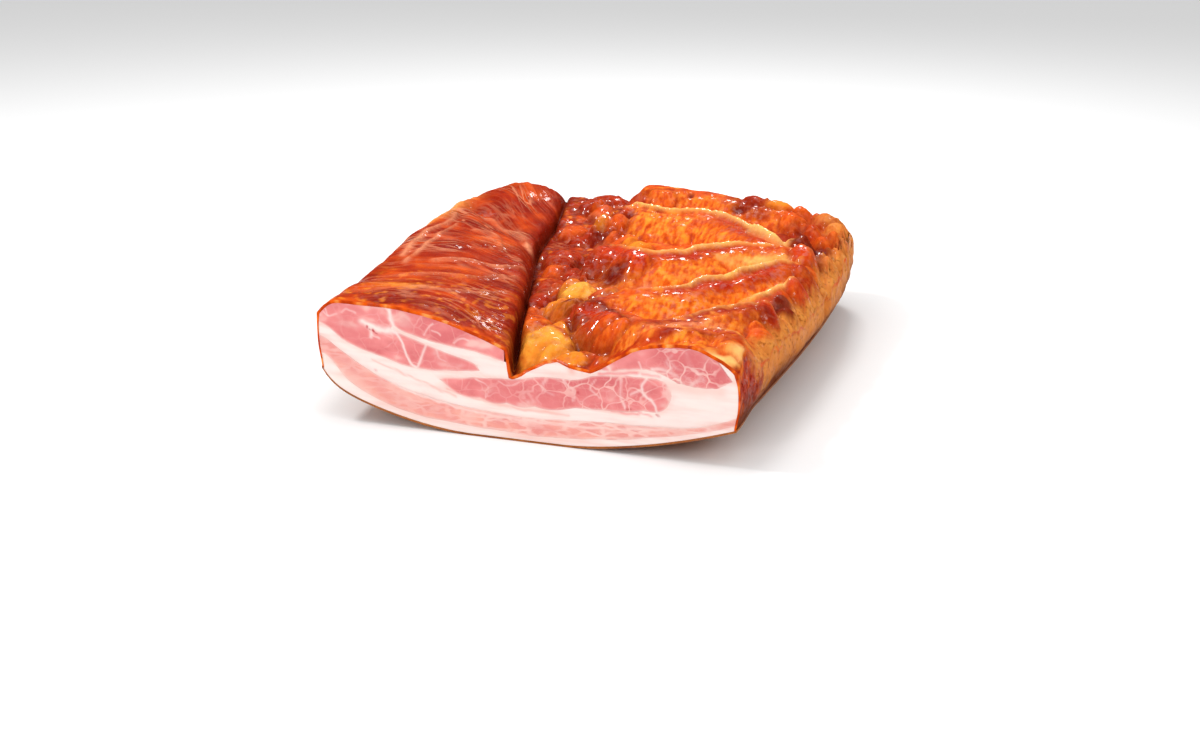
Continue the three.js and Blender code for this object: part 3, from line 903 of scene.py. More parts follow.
def new_group(name, inputs, outputs):
    """A node group that takes a vector and numbers with their defaults, and gives numbers or colours."""
    tree = bpy.data.node_groups.new(name, "ShaderNodeTree")
    tree.interface.new_socket("Vector", in_out="INPUT", socket_type="NodeSocketVector")
    for label, default in inputs.items():
        socket = tree.interface.new_socket(label, in_out="INPUT", socket_type="NodeSocketFloat")
        socket.default_value = default
    for label, kind in outputs.items():
        tree.interface.new_socket(label, in_out="OUTPUT", socket_type="NodeSocket" + kind)
    return Nodes(tree), tree.nodes.new("NodeGroupInput").outputs, tree.nodes.new("NodeGroupOutput").inputs


def moist_grain(name):
    """Fine bumps of wet meat and fat, with a roughness that varies."""
    inputs = {"Size": 300.0, "Dry": 0.45, "Wet": 0.3}
    nodes, given, out = new_group(name, inputs, {"Height": "Float", "Roughness": "Float"})
    fine = nodes.cloud(given["Vector"], given["Size"], 3.0)
    coarse = nodes.cloud(given["Vector"], nodes.times(given["Size"], 0.22), 2.0)
    nodes.feed(out["Height"], nodes.plus(nodes.times(fine, 0.5), coarse))
    drier = nodes.times(nodes.ramp(coarse, 0.35, 0.65), nodes.minus(given["Dry"], given["Wet"]))
    nodes.feed(out["Roughness"], nodes.plus(given["Wet"], drier))


def thin_veins(name):
    """Thin branching lines, as fat between muscle bundles or threads of membrane on the crust."""
    inputs = {"Size": 60.0, "Width": 0.06, "Warp": 0.5}
    nodes, given, out = new_group(name, inputs, {"Mask": "Float", "Cell": "Color"})
    warp = nodes.cloud(given["Vector"], nodes.times(given["Size"], 0.9), 2.0, "Color")
    centred = nodes.vectors("SUBTRACT", {0: warp, 1: (0.5, 0.5, 0.5)})
    amount = nodes.maths("DIVIDE", given["Warp"], given["Size"])
    shift = nodes.vectors("SCALE", {0: centred, "Scale": amount})
    cells = {"Vector": nodes.vectors("ADD", {0: given["Vector"], 1: shift}), "Scale": given["Size"]}
    edge = nodes.add("ShaderNodeTexVoronoi", cells, feature="DISTANCE_TO_EDGE")["Distance"]
    thin = nodes.maths("DIVIDE", edge, given["Width"])
    nodes.feed(out["Mask"], nodes.minus(1.0, nodes.ramp(thin, 0.25, 1.0)))
    nodes.feed(out["Cell"], nodes.add("ShaderNodeTexVoronoi", cells, feature="F1")["Color"])


def blotches(name):
    """A soft uneven mask of patches."""
    nodes, given, out = new_group(name, {"Size": 40.0, "From": 0.45, "To": 0.6}, {"Mask": "Float"})
    limits = {"From Min": given["From"], "From Max": given["To"]}
    cloud = nodes.cloud(given["Vector"], given["Size"], 4.0)
    nodes.feed(out["Mask"], nodes.add("ShaderNodeMapRange", {"Value": cloud, **limits})["Result"])


GROUP_MAKERS = {"Moist Grain": moist_grain, "Thin Veins": thin_veins, "Blotches": blotches}


def start_material(name, shine, coat, subsurface, radius):
    """A material, set where it is the same all over, with its nodes, its shader and object coordinates."""
    material = bpy.data.materials.new(name)
    material.use_nodes = True
    shader = material.node_tree.nodes["Principled BSDF"].inputs
    settings = {
        "Specular IOR Level": shine,
        "Coat Weight": coat,
        "Coat Roughness": COAT_ROUGHNESS,
        "Coat IOR": COAT_IOR,
        "Subsurface Weight": subsurface,
        "Subsurface Radius": radius,
        "Subsurface Scale": LIGHT_REACH,
    }
    for socket, value in settings.items():
        shader[socket].default_value = value
    nodes = Nodes(material.node_tree)
    return material, nodes, shader, nodes.add("ShaderNodeTexCoord", {})["Object"]


def finish_material(nodes, shader, colour, roughness, height, strength, distance):
    nodes.feed(shader["Base Color"], colour)
    nodes.feed(shader["Roughness"], roughness)
    bump = nodes.add("ShaderNodeBump", {"Height": height, "Strength": strength, "Distance": distance})
    nodes.feed(shader["Normal"], bump[0])


def crust_material(colours):
    """Browned and glossy: the painted tint with mottling, threads, beads, pores and a wet glaze."""
    material, nodes, shader, place = start_material("smoked_crust", 0.02, 0.0, 0.05, (1.0, 0.35, 0.15))
    tint = nodes.attribute("tint", "Color")
    wet = nodes.attribute("wet")
    lean_places = nodes.ramp(nodes.channel(tint, 1), 0.12, 0.42, 1.0, 0.15)

    # Mottling, darker and lighter
    mottle = nodes.times(nodes.blotches(place, 190.0, 0.36, 0.64), lean_places, 0.4)
    colour = nodes.mixed(mottle, tint, nodes.tinted(tint, 0.74, 0.5, 0.4))
    broad = nodes.times(nodes.blotches(place, 60.0, 0.36, 0.64), 0.4)
    colour = nodes.mixed(broad, colour, nodes.tinted(colour, 1.15, 1.4, 1.3))

    # Pale threads of membrane, drawn out along the flow
    drawn = nodes.stretched(nodes.attribute("flow", "Vector"), (0.2, 1.0, 0.6))
    fine_web = nodes.veins(drawn, 120.0, 0.09, 0.9)["Mask"]
    web = nodes.maths("MAXIMUM", fine_web, nodes.veins(drawn, 52.0, 0.05, 1.1)["Mask"])
    patchy = nodes.plus(0.15, nodes.blotches(drawn, 50.0, 0.4, 0.62))
    threads = nodes.times(web, nodes.attribute("threads"), patchy, clamp=True)
    colour = nodes.mixed(nodes.times(threads, 0.6), colour, (*colours.membrane, 1))

    # Beads of fat between darker fibres on the ridges' faces
    fibres = nodes.blotches(nodes.stretched(place, (1.0, 0.4, 0.4)), 330.0, 0.4, 0.6)
    gilt = nodes.tinted(colour, 1.2, 1.55, 1.5)
    ember = nodes.tinted(colour, 0.8, 0.5, 0.4)
    beads = nodes.times(nodes.attribute("beads"), lean_places)
    colour = nodes.mixed(beads, colour, nodes.mixed(fibres, ember, gilt))

    # Brown pores in the side walls
    pores = nodes.times(nodes.blotches(place, 380.0, 0.58, 0.68), nodes.attribute("side"))
    colour = nodes.mixed(nodes.times(pores, 0.6), colour, nodes.tinted(colour, 0.62, 0.45, 0.3))

    # Wet places shine in small sparks and have a smooth glaze instead of the grain
    sparks = nodes.blotches(place, 250.0, 0.5, 0.6)
    shine = nodes.plus(0.06, nodes.times(wet, 1.5))
    nodes.feed(shader["Coat Weight"], nodes.times(sparks, shine, clamp=True))
    fine = nodes.moist(place, 420.0, 0.6, 0.4)
    glaze = nodes.moist(place, 230.0, 0.6, 0.4)
    rough = nodes.minus(fine["Roughness"], nodes.times(wet, 0.25), clamp=True)
    relief = nodes.times(fine["Height"], nodes.minus(1.0, nodes.times(wet, 0.85)))
    relief = nodes.plus(relief, nodes.times(glaze["Height"], wet, 2.2))
    relief = nodes.plus(relief, nodes.times(threads, 0.4))
    relief = nodes.minus(relief, nodes.times(pores, 0.5))
    finish_material(nodes, shader, colour, rough, relief, 0.9, 0.0016)
    return material


def cut_material(name, colours, vein_size, long, vein_width):
    """A cut face: the painted tint with fine veins of fat, soft mottling and a moist grain."""
    material, nodes, shader, place = start_material(name, 0.3, 0.06, 0.12, (1.0, 0.45, 0.35))
    flat = nodes.stretched(place, (1.0 / long, 0.0, 1.2))
    tint = nodes.attribute("tint", "Color")
    amount = nodes.attribute("veins")
    cells = nodes.veins(flat, vein_size, vein_width, 0.9)
    hairs = nodes.veins(flat, vein_size * 2.6, 0.1, 1.1)
    cloud = nodes.blotches(flat, vein_size * 0.7, 0.36, 0.62)
    spots = nodes.blotches(flat, vein_size * 3.2, 0.45, 0.7)
    deeper = nodes.tinted(tint, 0.93, 0.78, 0.8)
    tone = nodes.mixed(nodes.times(nodes.channel(cells["Cell"], 0), amount, 0.9), tint, deeper)
    tone = nodes.mixed(nodes.times(spots, 0.22), tone, deeper)
    line = nodes.times(cells["Mask"], nodes.plus(0.15, nodes.times(cloud, 0.7)))
    hair = nodes.times(hairs["Mask"], cloud, 0.2)
    fatty = nodes.times(nodes.maths("MAXIMUM", line, hair), amount, clamp=True)
    colour = nodes.mixed(fatty, tone, (*colours.fat_blush, 1))
    moist = nodes.moist(place, 450.0, 0.5, 0.3)
    relief = nodes.minus(moist["Height"], nodes.times(fatty, 0.4))
    finish_material(nodes, shader, colour, moist["Roughness"], relief, 0.35, 0.0007)
    return material


def rind_material(colours):
    """Smoked skin: tan and leathery, with small pores."""
    material, nodes, shader, place = start_material("smoked_rind", 0.2, 0.05, 0.05, (1.0, 0.5, 0.3))
    brown = (*colours.rind_dark, 1)
    pores = nodes.veins(place, 220.0, 0.14, 0.6)["Mask"]
    colour = nodes.mixed(nodes.blotches(place, 30.0, 0.3, 0.7), (*colours.rind, 1), brown)
    colour = nodes.mixed(nodes.times(pores, 0.3), colour, brown)
    moist = nodes.moist(place, 380.0, 0.6, 0.42)
    relief = nodes.minus(moist["Height"], nodes.times(pores, 0.5))
    finish_material(nodes, shader, colour, moist["Roughness"], relief, 0.5, 0.0008)
    return material


# Painting of the crust

# Places that shine most: x, y and reach
WET_SPOTS = [
    (24, -22, 22), (28, -104, 14), (-4, 10, 14), (70, 146, 16), (46, -148, 16), (-14, 108, 14), (84, 92, 20),
    (10, -160, 12), (-44, 22, 12), (-42, 150, 16), (28, -135, 12), (93, -102, 16), (-8, -66, 12),
    (112, -142, 12), (135, 72, 14), (-106, -166, 10), (-127, 85, 12), (56, -90, 14), (141, 30, 10),
]


def paint(tint, colours, coats):
    """Lays coats over the tint in order, each a colour's name and its share from 0 to 1 at every point."""
    for name, share in coats:
        tint = tint + (np.array(getattr(colours, name)) - tint) * np.clip(share, 0, 1)[:, None]
    return tint


def ground_coats(x, y, masks, broad, patch, flecks, drawn):
    """The lobe, the strip beside the groove and the ridged field, with painted shade on the lobe's flank by
    the groove and in the gaps between the strip's lumps.
    """
    lobe, field, strip, face = masks["lobe"], masks["field"], masks["strip"], masks["face"]
    behind_cut = y - FRONT
    behind = field * (1 - face)
    beaded = masks["fleck"] + masks["smear"]
    left_rim = smooth(9, 2, behind_cut + 8 * patch) * smooth(-40, -70, x + 20 * patch)
    return [
        ("red", lobe * (0.95 + 0.5 * broad + 0.3 * patch)),
        ("deep", lobe * (0.38 + 0.7 * drawn + 0.8 * broad)),
        ("orange", lobe * smooth(0.2, 0.55, -drawn) * 0.4 * smooth(4, 24, behind_cut)),
        ("rim", lobe * left_rim * 0.35),
        ("rim", smooth(5, 1, behind_cut + 5 * patch) * 0.5),
        ("gold", lobe * smooth(0.15, 0.45, flecks) * smooth(-60, -140, y) * 0.5),
        # Painted shade down the lobe's flank into the groove
        ("deep", lobe * smooth(-14, -4, masks["beside"]) * 0.4),
        ("gold", field * face * (0.35 + 0.4 * masks["fleck"] + 0.5 * masks["smear"] + 0.3 * patch)),
        ("red", field * face * smooth(0.2, -0.4, beaded) * 0.35),
        ("red", behind * (0.25 + broad + 0.6 * patch)),
        ("gold", behind * smooth(0.1, 0.5, flecks) * 0.6),
        ("red", strip * (0.85 + broad + 0.5 * patch)),
        ("gold", strip * smooth(0.1, 0.5, flecks) * 0.5),
        # Painted shade: maroon in the low gaps between the strip's packed lumps
        ("maroon", strip * smooth(0.4, 0.0, np.minimum(masks["packed"], masks["small"] + 0.2)) * 0.75),
        ("band", masks["red"] * (0.85 + 0.6 * patch)),
    ]


def form_coats(x, y, masks, patch, flecks):
    """The lumps, strokes, crests, pits and creases, and the bottom of the groove, with painted shade in the
    pits, the creases, the rings round the lumps and the groove.
    """
    coats = []
    for cx, cy, rx, ry, _, turn, name in LUMPS:
        if name:
            share = smooth(1.12, 0.72, reach_of(x, y, cx, cy, rx, ry, turn) - 0.25 * patch)
            strength = 0.95 if name in ("yellow", "maroon") else 0.75
            coats.append((name, share * (1 - masks["lobe"]) * strength))
    # Painted shade in the rings pressed round the lumps
    coats.append(("maroon", masks["ring_shade"] * 0.45))
    for name, width, strength, _, line in STROKES:
        near = bell(line_gap(line, x, y, 2.5 * width), width)
        coats.append((name, near * (strength + 0.5 * patch)))
    coats.append(("crest", masks["pale"] * (1 + 0.25 * patch)))
    # Painted shade: each pit darkens to maroon towards its middle
    for cx, cy, rx, ry, _ in PITS:
        coats.append(("maroon", 1 - smooth(0.2, 1.0, reach_of(x, y, cx, cy, rx, ry))))
    # Painted shade: the creases darken to maroon in step with their depth
    for line, depth, reach in CREASES[1:]:
        coats.append(("maroon", 0.1 * depth * (1 - smooth(0, 0.9, line_gap(line, x, y, reach) / reach))))
    beside = masks["beside"]
    groove = np.where(beside < 0, bell(beside, 2.6), bell(beside, 4.0))
    jelly = groove * smooth(26, 6, y - FRONT) * smooth(-0.1, 0.3, flecks)
    # Painted shade darkens the groove's bottom; the amber near the cut is thin jelly
    return coats + [("dark", groove * 1.1), ("amber", jelly * 0.8)]


def crust_tint(points, masks, colours):
    """Colour of each point of the crust, and how much thread, wetness, bead and side wall shows there."""
    x, y, z = points.T
    lobe, field, strip, face, down = (masks[name] for name in ("lobe", "field", "strip", "face", "down"))
    upper = 1 - masks["wall"]
    broad = grain(x, y, z, 34.0, 3, 2.2)
    patch = grain(x, y, z, 12.0, 3, 4.4)
    flecks = grain(x, y, z, 6.0, 2, 3.7)
    drawn = grain(x, masks["flow"], z, (50, 11, 40), 2, 6.1)
    tint = np.tile(np.array(colours.orange), (len(x), 1))
    tint = paint(tint, colours, ground_coats(x, y, masks, broad, patch, flecks, drawn))
    forms = form_coats(x, y, masks, patch, flecks)
    tint = paint(tint, colours, [(name, share * upper) for name, share in forms])

    # The side walls, with open fat at the left and tan fat that comes up over the right edge, and painted
    # shade that darkens them towards their foot
    open_fat = smooth(-10, 30, y + 30 * patch) * smooth(150, 120, y + 30 * patch)
    start = 0.3 * (1 - open_fat) * (x < -60)
    side = smooth(start, start + 0.12, down + 0.08 * patch) * masks["wall"]
    near_cut = (x > 60) * (1 - smooth(0, 14, y - FRONT - NEAR_CUT - 0.5 * (60 - z) + 14 * patch))
    to_wall = right_wall(np.clip(y, FRONT, BACK)) - x
    over_edge = smooth(15, 9, to_wall + 5 * patch) * smooth(64, 58, z + 4 * patch) * (x > 60)
    side = np.maximum(side, over_edge * upper)
    tint = paint(tint, colours, [
        ("side", side),
        ("red", side * near_cut),
        ("rim", side * near_cut * smooth(0.0, 0.4, flecks) * 0.7),
        # painted shade: the walls darken towards their foot
        ("char", side * smooth(0.25, 1.0, down + 0.1 * broad)),
    ])

    bead_share = field * (0.35 + 0.55 * face) * (1 - masks["red"]) + 0.25 * strip
    clear = smooth(2, 14, np.abs(masks["beside"])) * smooth(0, 24, y - FRONT)
    thread_share = (lobe * 0.95 + strip * 0.35 + field * 0.2) * (0.7 + 0.9 * broad) * clear
    wet = strip * (0.4 + 0.9 * patch) + lobe * (0.08 + 0.35 * broad)
    wet = np.clip(wet + masks["red"] * 0.45 + face * 0.15 + 0.5 * masks["pale"], 0, 1) * upper
    wet = np.maximum(wet, 0.12 * side * near_cut)
    for cx, cy, reach in WET_SPOTS:
        wet = np.maximum(wet, bell(np.hypot(x - cx, y - cy), reach) * upper)
    threads, beads = (np.clip(share * upper, 0, 1) for share in (thread_share, bead_share))
    return tint, {"threads": threads, "wet": wet, "beads": beads, "side": side}


def paint_rim(tint, place, shell, inner, colours):
    """The crust's edge at the cut, bright orange with paler and redder spots, and the crust's inner side."""
    front = place[:, 1] < -AT_EDGE
    spots = grain(shell[:, 0], shell[:, 0] * 0, shell[:, 2], 9.0, 3, 3.1)
    return paint(tint, colours, [
        ("rim", front * 1.0),
        ("crest", front * smooth(0.15, 0.6, spots) * 0.5),
        ("red", front * smooth(-0.1, 0.3, -spots) * 0.7),
        ("orange", inner * ~front * 1.0),
    ])


# Painting of the cut. Strokes across it: colour, half width, strength and path as (x, z)

LEFT_STROKES = [
    ("fat", 1.3, 0.9, [(-77, 79), (-76.5, 72), (-74, 64)]),
    ("fat", 0.9, 0.6, [(-80, 79), (-77, 75)]),
    ("fat", 0.8, 0.85, [(-73, 64), (-69, 55), (-64, 44), (-60, 41)]),
    ("fat", 0.8, 0.8, [(-52.9, 57.5), (-56, 49), (-59, 42)]),
    ("fat", 2.2, 0.95, [(-96, 67.5), (-89, 65.3), (-81, 63.5), (-73, 63.5)]),
    ("fat", 1.4, 0.7, [(-90, 65), (-89.5, 61.5), (-90.5, 58)]),
    ("fat", 0.8, 0.5, [(-89.5, 60), (-85, 57.5)]),
    ("fat", 0.6, 0.5, [(-123, 71), (-119, 69.5), (-113.6, 70.7)]),
    ("fat", 0.6, 0.5, [(-122, 75), (-119, 69.5)]),
    ("fat", 0.6, 0.4, [(-110, 72), (-106, 75), (-100, 73)]),
    ("fat", 0.5, 0.6, [(-54, 63), (-51, 68), (-47.6, 71)]),
    ("fat", 0.5, 0.5, [(-49, 66), (-43, 64)]),
    ("fat", 0.5, 0.5, [(-34, 60), (-30, 63), (-25, 62)]),
    ("fat", 0.6, 0.5, [(-46, 54), (-44, 49), (-40, 47)]),
    ("deep_lean", 7, 0.5, [(-110, 66), (-100, 58)]),
    ("deep_lean", 6, 0.5, [(-66, 70), (-58, 66)]),
    ("deep_lean", 6, 0.4, [(-46, 48), (-30, 45)]),
    ("blood", 0.6, 1.0, [(-92.6, 64.9), (-92.4, 64.2)]),
    ("blood", 0.5, 0.7, [(-90.6, 63.5), (-90.2, 63.2)]),
    ("blood", 0.8, 1.1, [(-88.4, 63.0), (-87.6, 62.4)]),
    ("blood", 0.6, 0.8, [(-86.2, 61.4), (-85.6, 61.0)]),
]
MIDDLE_STROKES = [
    ("fat", 0.8, 0.8, [(37, 45), (38.4, 41), (43.5, 36.5), (43, 31)]),
    ("fat", 0.9, 0.6, [(26, 43), (23, 37), (30, 33)]),
    ("fat", 0.6, 0.6, [(57, 46), (54, 40), (60, 35)]),
    ("fat", 0.7, 0.8, [(73.8, 49), (73, 37.5), (76, 30)]),
    ("fat", 0.8, 0.85, [(88.7, 50), (86, 43), (94, 34), (95.7, 29)]),
    ("fat", 0.7, 0.7, [(86, 43), (79, 39)]),
    ("fat", 0.5, 0.6, [(-20, 38), (-12, 33), (-14, 27)]),
    ("fat", 0.5, 0.5, [(-6, 38), (2, 36), (8, 39)]),
    ("deep_lean", 9, 0.6, [(-10, 32), (20, 34), (46, 36)]),
    ("deep_lean", 8, 0.5, [(62, 44), (72, 40)]),
    ("blood", 0.6, 0.7, [(46, 37.2), (46.6, 36.2)]),
    ("blood", 0.7, 0.7, [(77, 29.6), (79, 29.8)]),
]
RIGHT_STROKES = [
    ("fat", 1.2, 0.9, [(113, 68), (114.5, 64), (116.5, 60), (121.5, 54.5), (116, 49)]),
    ("fat", 1.2, 0.8, [(104, 62), (107, 58.9), (113, 58), (117, 60)]),
    ("fat", 0.9, 0.8, [(104, 66), (101, 62), (104, 58)]),
    ("fat", 1.1, 0.8, [(93, 57), (100, 57), (107, 54), (110, 50)]),
    ("fat", 1.0, 0.7, [(124, 62), (120, 58), (124, 53)]),
    ("fat", 0.8, 0.7, [(110, 55), (114, 53), (116, 50)]),
    ("fat", 0.9, 0.6, [(66, 53), (64, 58), (70, 62)]),
    ("fat", 0.6, 0.5, [(84, 60), (86, 55)]),
    ("deep_lean", 10, 0.9, [(116, 66), (124, 60), (132, 56)]),
    ("deep_lean", 8, 0.7, [(98, 66), (108, 62), (112, 55)]),
    ("lean", 8, 0.4, [(70, 66), (86, 68)]),
]
FAT_STROKES = [
    ("fat_blush", 3, 0.9, [(-72, 64), (-60, 61)]),
    ("lean", 1.1, 0.9, [(60, 50.4), (68, 51.3), (76, 52.2), (83, 53)]),
    ("lean", 0.9, 0.7, [(86, 52.4), (92, 52.6), (97, 52.2)]),
    ("streak", 2.5, 0.7, [(37, 60), (41, 55), (42, 50)]),
    ("fat_blush", 4, 0.9, [(100, 48), (118, 46), (134, 47)]),
    ("lean", 0.8, 0.8, [(68, 27.6), (78, 26.6), (84, 26.8)]),
    ("lean", 0.6, 0.7, [(84, 28.4), (92, 26)]),
    ("blood", 0.6, 0.9, [(95.4, 27.9), (96.6, 27.3)]),
    ("lean", 0.5, 0.6, [(-2, 25.5), (8, 24)]),
    ("blood", 0.6, 0.5, [(-89, 36), (-88, 36)]),
    ("streak", 0.8, 0.6, [(-40, 29), (-20, 25), (10, 21.5), (40, 21)]),
    ("streak", 0.7, 0.6, [(-90, 43), (-60, 33), (-34, 25)]),
    ("fat_blush", 1.2, 0.8, [(10, 51), (24, 55), (34, 57)]),
]
STREAK_STROKES = [
    ("fat", 0.8, 0.7, [(-116, 46), (-112, 50), (-106, 54)]),
    ("fat", 0.8, 0.7, [(-104, 40), (-98, 42), (-92, 40)]),
    ("fat", 0.8, 0.7, [(-84, 33), (-70, 26), (-50, 21), (-20, 16), (20, 14.5), (60, 15), (100, 19)]),
    ("fat", 0.6, 0.6, [(-60, 27), (-30, 22), (0, 20)]),
    ("streak_deep", 3, 0.6, [(-118, 52), (-110, 45)]),
    ("streak_deep", 4, 0.7, [(-126, 51), (-116, 46), (-104, 36)]),
    ("streak_deep", 4, 0.6, [(-108, 40), (-90, 27), (-66, 17), (-40, 13)]),
    ("streak_deep", 3, 0.3, [(20, 9), (50, 11), (80, 14), (110, 19)]),
    ("streak_deep", 2.5, 0.3, [(0, 15), (30, 16), (56, 17)]),
]


def paint_cut(piece, colours, base, strokes, veins, edges):
    """Paints a layer's tint in the plane of the cut, and how strongly fine veins of fat show in it."""
    x, _, z = read_points(piece.data).T / MM
    edge = np.minimum.reduce([nearest(line, x, z)[0] for line in edges])
    cloud = grain(x, x * 0, z, (20, 1, 11), 3, 5.5)
    if base == "fat":
        bands = grain(x, x * 0, z, (40, 1, 3.5), 3, 2.5)
        coats = [("fat_blush", 0.5 * bell(edge, 2.6) + 0.8 * bands)]
    else:
        deep, blush = ("streak_deep", 0.35) if base == "streak" else ("deep_lean", 0.7)
        coats = [
            (deep, 0.2 + 1.2 * cloud),
            ("fat_blush", blush * smooth(0.1, 0.7, -cloud)),
            ("fat_blush", 0.75 * bell(edge, 0.9)),
        ]
    wander = 0.8 * grain(x, x * 0, z, 6.0, 2, 8.2)
    for name, width, strength, path in strokes:
        gap = nearest(line_through(path), x + wander, z + wander)[0]
        coats.append((name, bell(gap, width) * strength))
    tint = np.tile(np.array(getattr(colours, base)), (len(x), 1))
    store_tint(piece.data, paint(tint, colours, coats))
    store(piece.data, "veins", np.clip(veins(x) * np.ones(x.shape), 0, 1))


# What a user would change


def colour_property(name, description, *screen):
    return bpy.props.FloatVectorProperty(
        name=name, description=description, default=linear(*screen), subtype="COLOR", size=3, min=0, max=1
    )


def thickness_property(name, description, millimetres):
    return bpy.props.FloatProperty(
        name=name, description=description, default=millimetres * MM, min=0.5 * MM, max=4 * MM, unit="LENGTH"
    )


class BaconSizes(bpy.types.PropertyGroup):
    """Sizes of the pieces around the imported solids"""

    crust: thickness_property("Crust", "Thickness of the browned crust", 1.9)
    rind: thickness_property("Rind", "Thickness of the skin below", 1.4)
    lobe_columns: bpy.props.IntProperty(
        name="Lobe columns", description="Columns of the lobe's mesh", default=100, min=30, max=110
    )
    field_columns: bpy.props.IntProperty(
        name="Field columns", description="Columns of the ridged field's mesh", default=130, min=30, max=135
    )
    rows: bpy.props.IntProperty(name="Rows", description="Rows of both meshes", default=280, min=60, max=290)


class BaconColours(bpy.types.PropertyGroup):
    """Colours of the crust, the rind and the cut"""

    red: colour_property("Red crust", "Browned lean on top", 172, 42, 12)
    # Also painted shade on the lobe's flank down into the groove
    deep: colour_property("Deep red", "Darker browned lean", 136, 26, 8)
    band: colour_property("Red band", "Wet lean under the ridges' crests", 186, 42, 10)
    # Also painted shade in the pits, the creases, the rings round the lumps and the gaps between the strip's
    # lumps
    maroon: colour_property("Maroon", "Dark lean, dried by the smoke", 122, 26, 10)
    orange: colour_property("Orange crust", "Browned fat and lean", 226, 88, 24)
    gold: colour_property("Gold", "Fat beads on the ridges' faces", 251, 144, 42)
    crest: colour_property("Crest", "Pale fat along the ridges", 254, 188, 104)
    peach: colour_property("Peach", "Smoked fat along the lobe's outer edge", 246, 150, 76)
    cream: colour_property("Cream", "Bare fat beside the cut", 254, 196, 120)
    pinkish: colour_property("Pinkish crust", "Thin membrane over the front folds", 232, 128, 88)
    # Painted shade for the bottom of the groove
    dark: colour_property("Dark", "Groove and hollows", 104, 24, 6)
    gloss: colour_property("Glossy red", "Wet ends of the ridges", 206, 56, 18)
    amber: colour_property("Amber", "Thin brown jelly in the hollows", 206, 104, 32)
    yellow: colour_property("Yellow fat", "Bare lump of fat", 252, 170, 62)
    rim: colour_property("Rim", "Edge of the crust at the cut", 232, 92, 14)
    side: colour_property("Side", "Smoked fat of the side walls", 228, 136, 62)
    membrane: colour_property("Membrane", "Pale threads on the crust", 232, 144, 106)
    lean: colour_property("Lean", "Cut muscle", 240, 142, 140)
    deep_lean: colour_property("Deep lean", "Darker cut muscle", 222, 112, 114)
    blood: colour_property("Blood", "Small dark vessels", 196, 34, 44)
    streak: colour_property("Streak", "The thin pale layer of lean", 246, 172, 156)
    streak_deep: colour_property("Deep streak", "Its darker bundles", 238, 154, 146)
    fat: colour_property("Fat", "Cut fat", 254, 234, 227)
    fat_blush: colour_property("Fat blush", "Fat beside lean", 250, 210, 200)
    rind: colour_property("Rind", "Smoked skin", 196, 120, 58)
    rind_dark: colour_property("Dark rind", "Darker smoked skin", 128, 62, 24)
    # Painted shade that darkens the foot of the side walls
    char: colour_property("Foot shade", "Foot of the side walls", 112, 46, 6)


class BaconOperator:
    """What every operator here shares"""

    bl_options = {"REGISTER", "UNDO"}

    def kit(self, context):
        return context.scene.bacon_sizes, context.scene.bacon_colours


def even_out(place, shell, shift, inner, thick, open_side):
    """Keeps the crust's thickness within bounds, its edges flush, and its walls thinner than its top."""
    u, v, w = place.T
    length = np.maximum(np.linalg.norm(shift, axis=1), 1e-6)
    shift = shift * (np.minimum(length, 1.5 * thick) / length)[:, None]
    shift = shift * mix(1.0, 0.6, smooth(0, 0.25, -w))[:, None]
    shift[:, 0] *= ~(u * open_side > AT_EDGE)
    shift[:, 1] *= v > -AT_EDGE
    shift[:, 2] *= ~(w < -AT_EDGE)
    return shell + shift * inner[:, None]


def crust_piece(part, columns, open_side, sizes, colours):
    """One side of the crust: a sheet with walls, given its thickness, evened out and painted."""
    bm = sheet_with_walls(columns, sizes.rows, WALL_ROWS, open_side)
    sheet, shell, masks = shape_sheet(bm, part)
    tint, shares = crust_tint(shell, masks, colours)
    bmesh.ops.solidify(bm, geom=bm.faces[:], thickness=sizes.crust)
    piece = new_piece(part + "_crust", bm)
    mesh = piece.data

    # Each point of the solid shell takes its values from the sheet's point that it came from
    place = read_points(mesh, "place")
    source = np.unique(sheet, axis=0, return_index=True)[1]
    source = source[np.unique(place, axis=0, return_inverse=True)[1].ravel()]
    shell = shell[source]
    shift = read_points(mesh) / MM - shell
    inner = np.linalg.norm(shift, axis=1) > 0.2
    write_points(mesh, even_out(place, shell, shift, inner, sizes.crust / MM, open_side))
    store_tint(mesh, paint_rim(tint[source], place, shell, inner, colours))
    for name, values in shares.items():
        store(mesh, name, values[source])
    store(mesh, "flow", np.column_stack([shell[:, 0], masks["flow"][source], shell[:, 2]]) * MM)
    shade_smooth(piece)
    return piece


class BACON_OT_crust(BaconOperator, bpy.types.Operator):
    """Build the browned crust over the top and down the side and back walls"""

    bl_idname = "bacon.crust"
    bl_label = "Crust"

    def execute(self, context):
        sizes, colours = self.kit(context)
        material = crust_material(colours)
        lobe = crust_piece("lobe", sizes.lobe_columns, 1, sizes, colours)
        dress(lobe, material, "fat", "lean_left")
        field = crust_piece("field", sizes.field_columns, -1, sizes, colours)
        dress(field, material, "fat", "fat_main", "lean_right")
        return {"FINISHED"}


class BACON_OT_rind(BaconOperator, bpy.types.Operator):
    """Build the rind, a thin skin under the whole slab"""

    bl_idname = "bacon.rind"
    bl_label = "Rind"

    def execute(self, context):
        sizes, colours = self.kit(context)
        piece = new_piece("rind", box_grid(RIND_CUTS, 1, RIND_CUTS))
        s, t, up = (read_points(piece.data).T + 1) / 2
        y0 = mix(FRONT, BACK, t)
        above = up * sizes.rind / MM
        foot, _, _ = wall_curl(y0, above)
        foot = foot - RIND_OVERLAP
        x = mix(left_wall(y0) + foot, right_wall(y0) - foot, s)
        y = mix(FRONT, back_wall(x) - foot, t)
        write_points(piece.data, np.column_stack([x, y, bottom(x, y) + above]))
        dress(piece, rind_material(colours), "fat", "fat_skin")
        return {"FINISHED"}


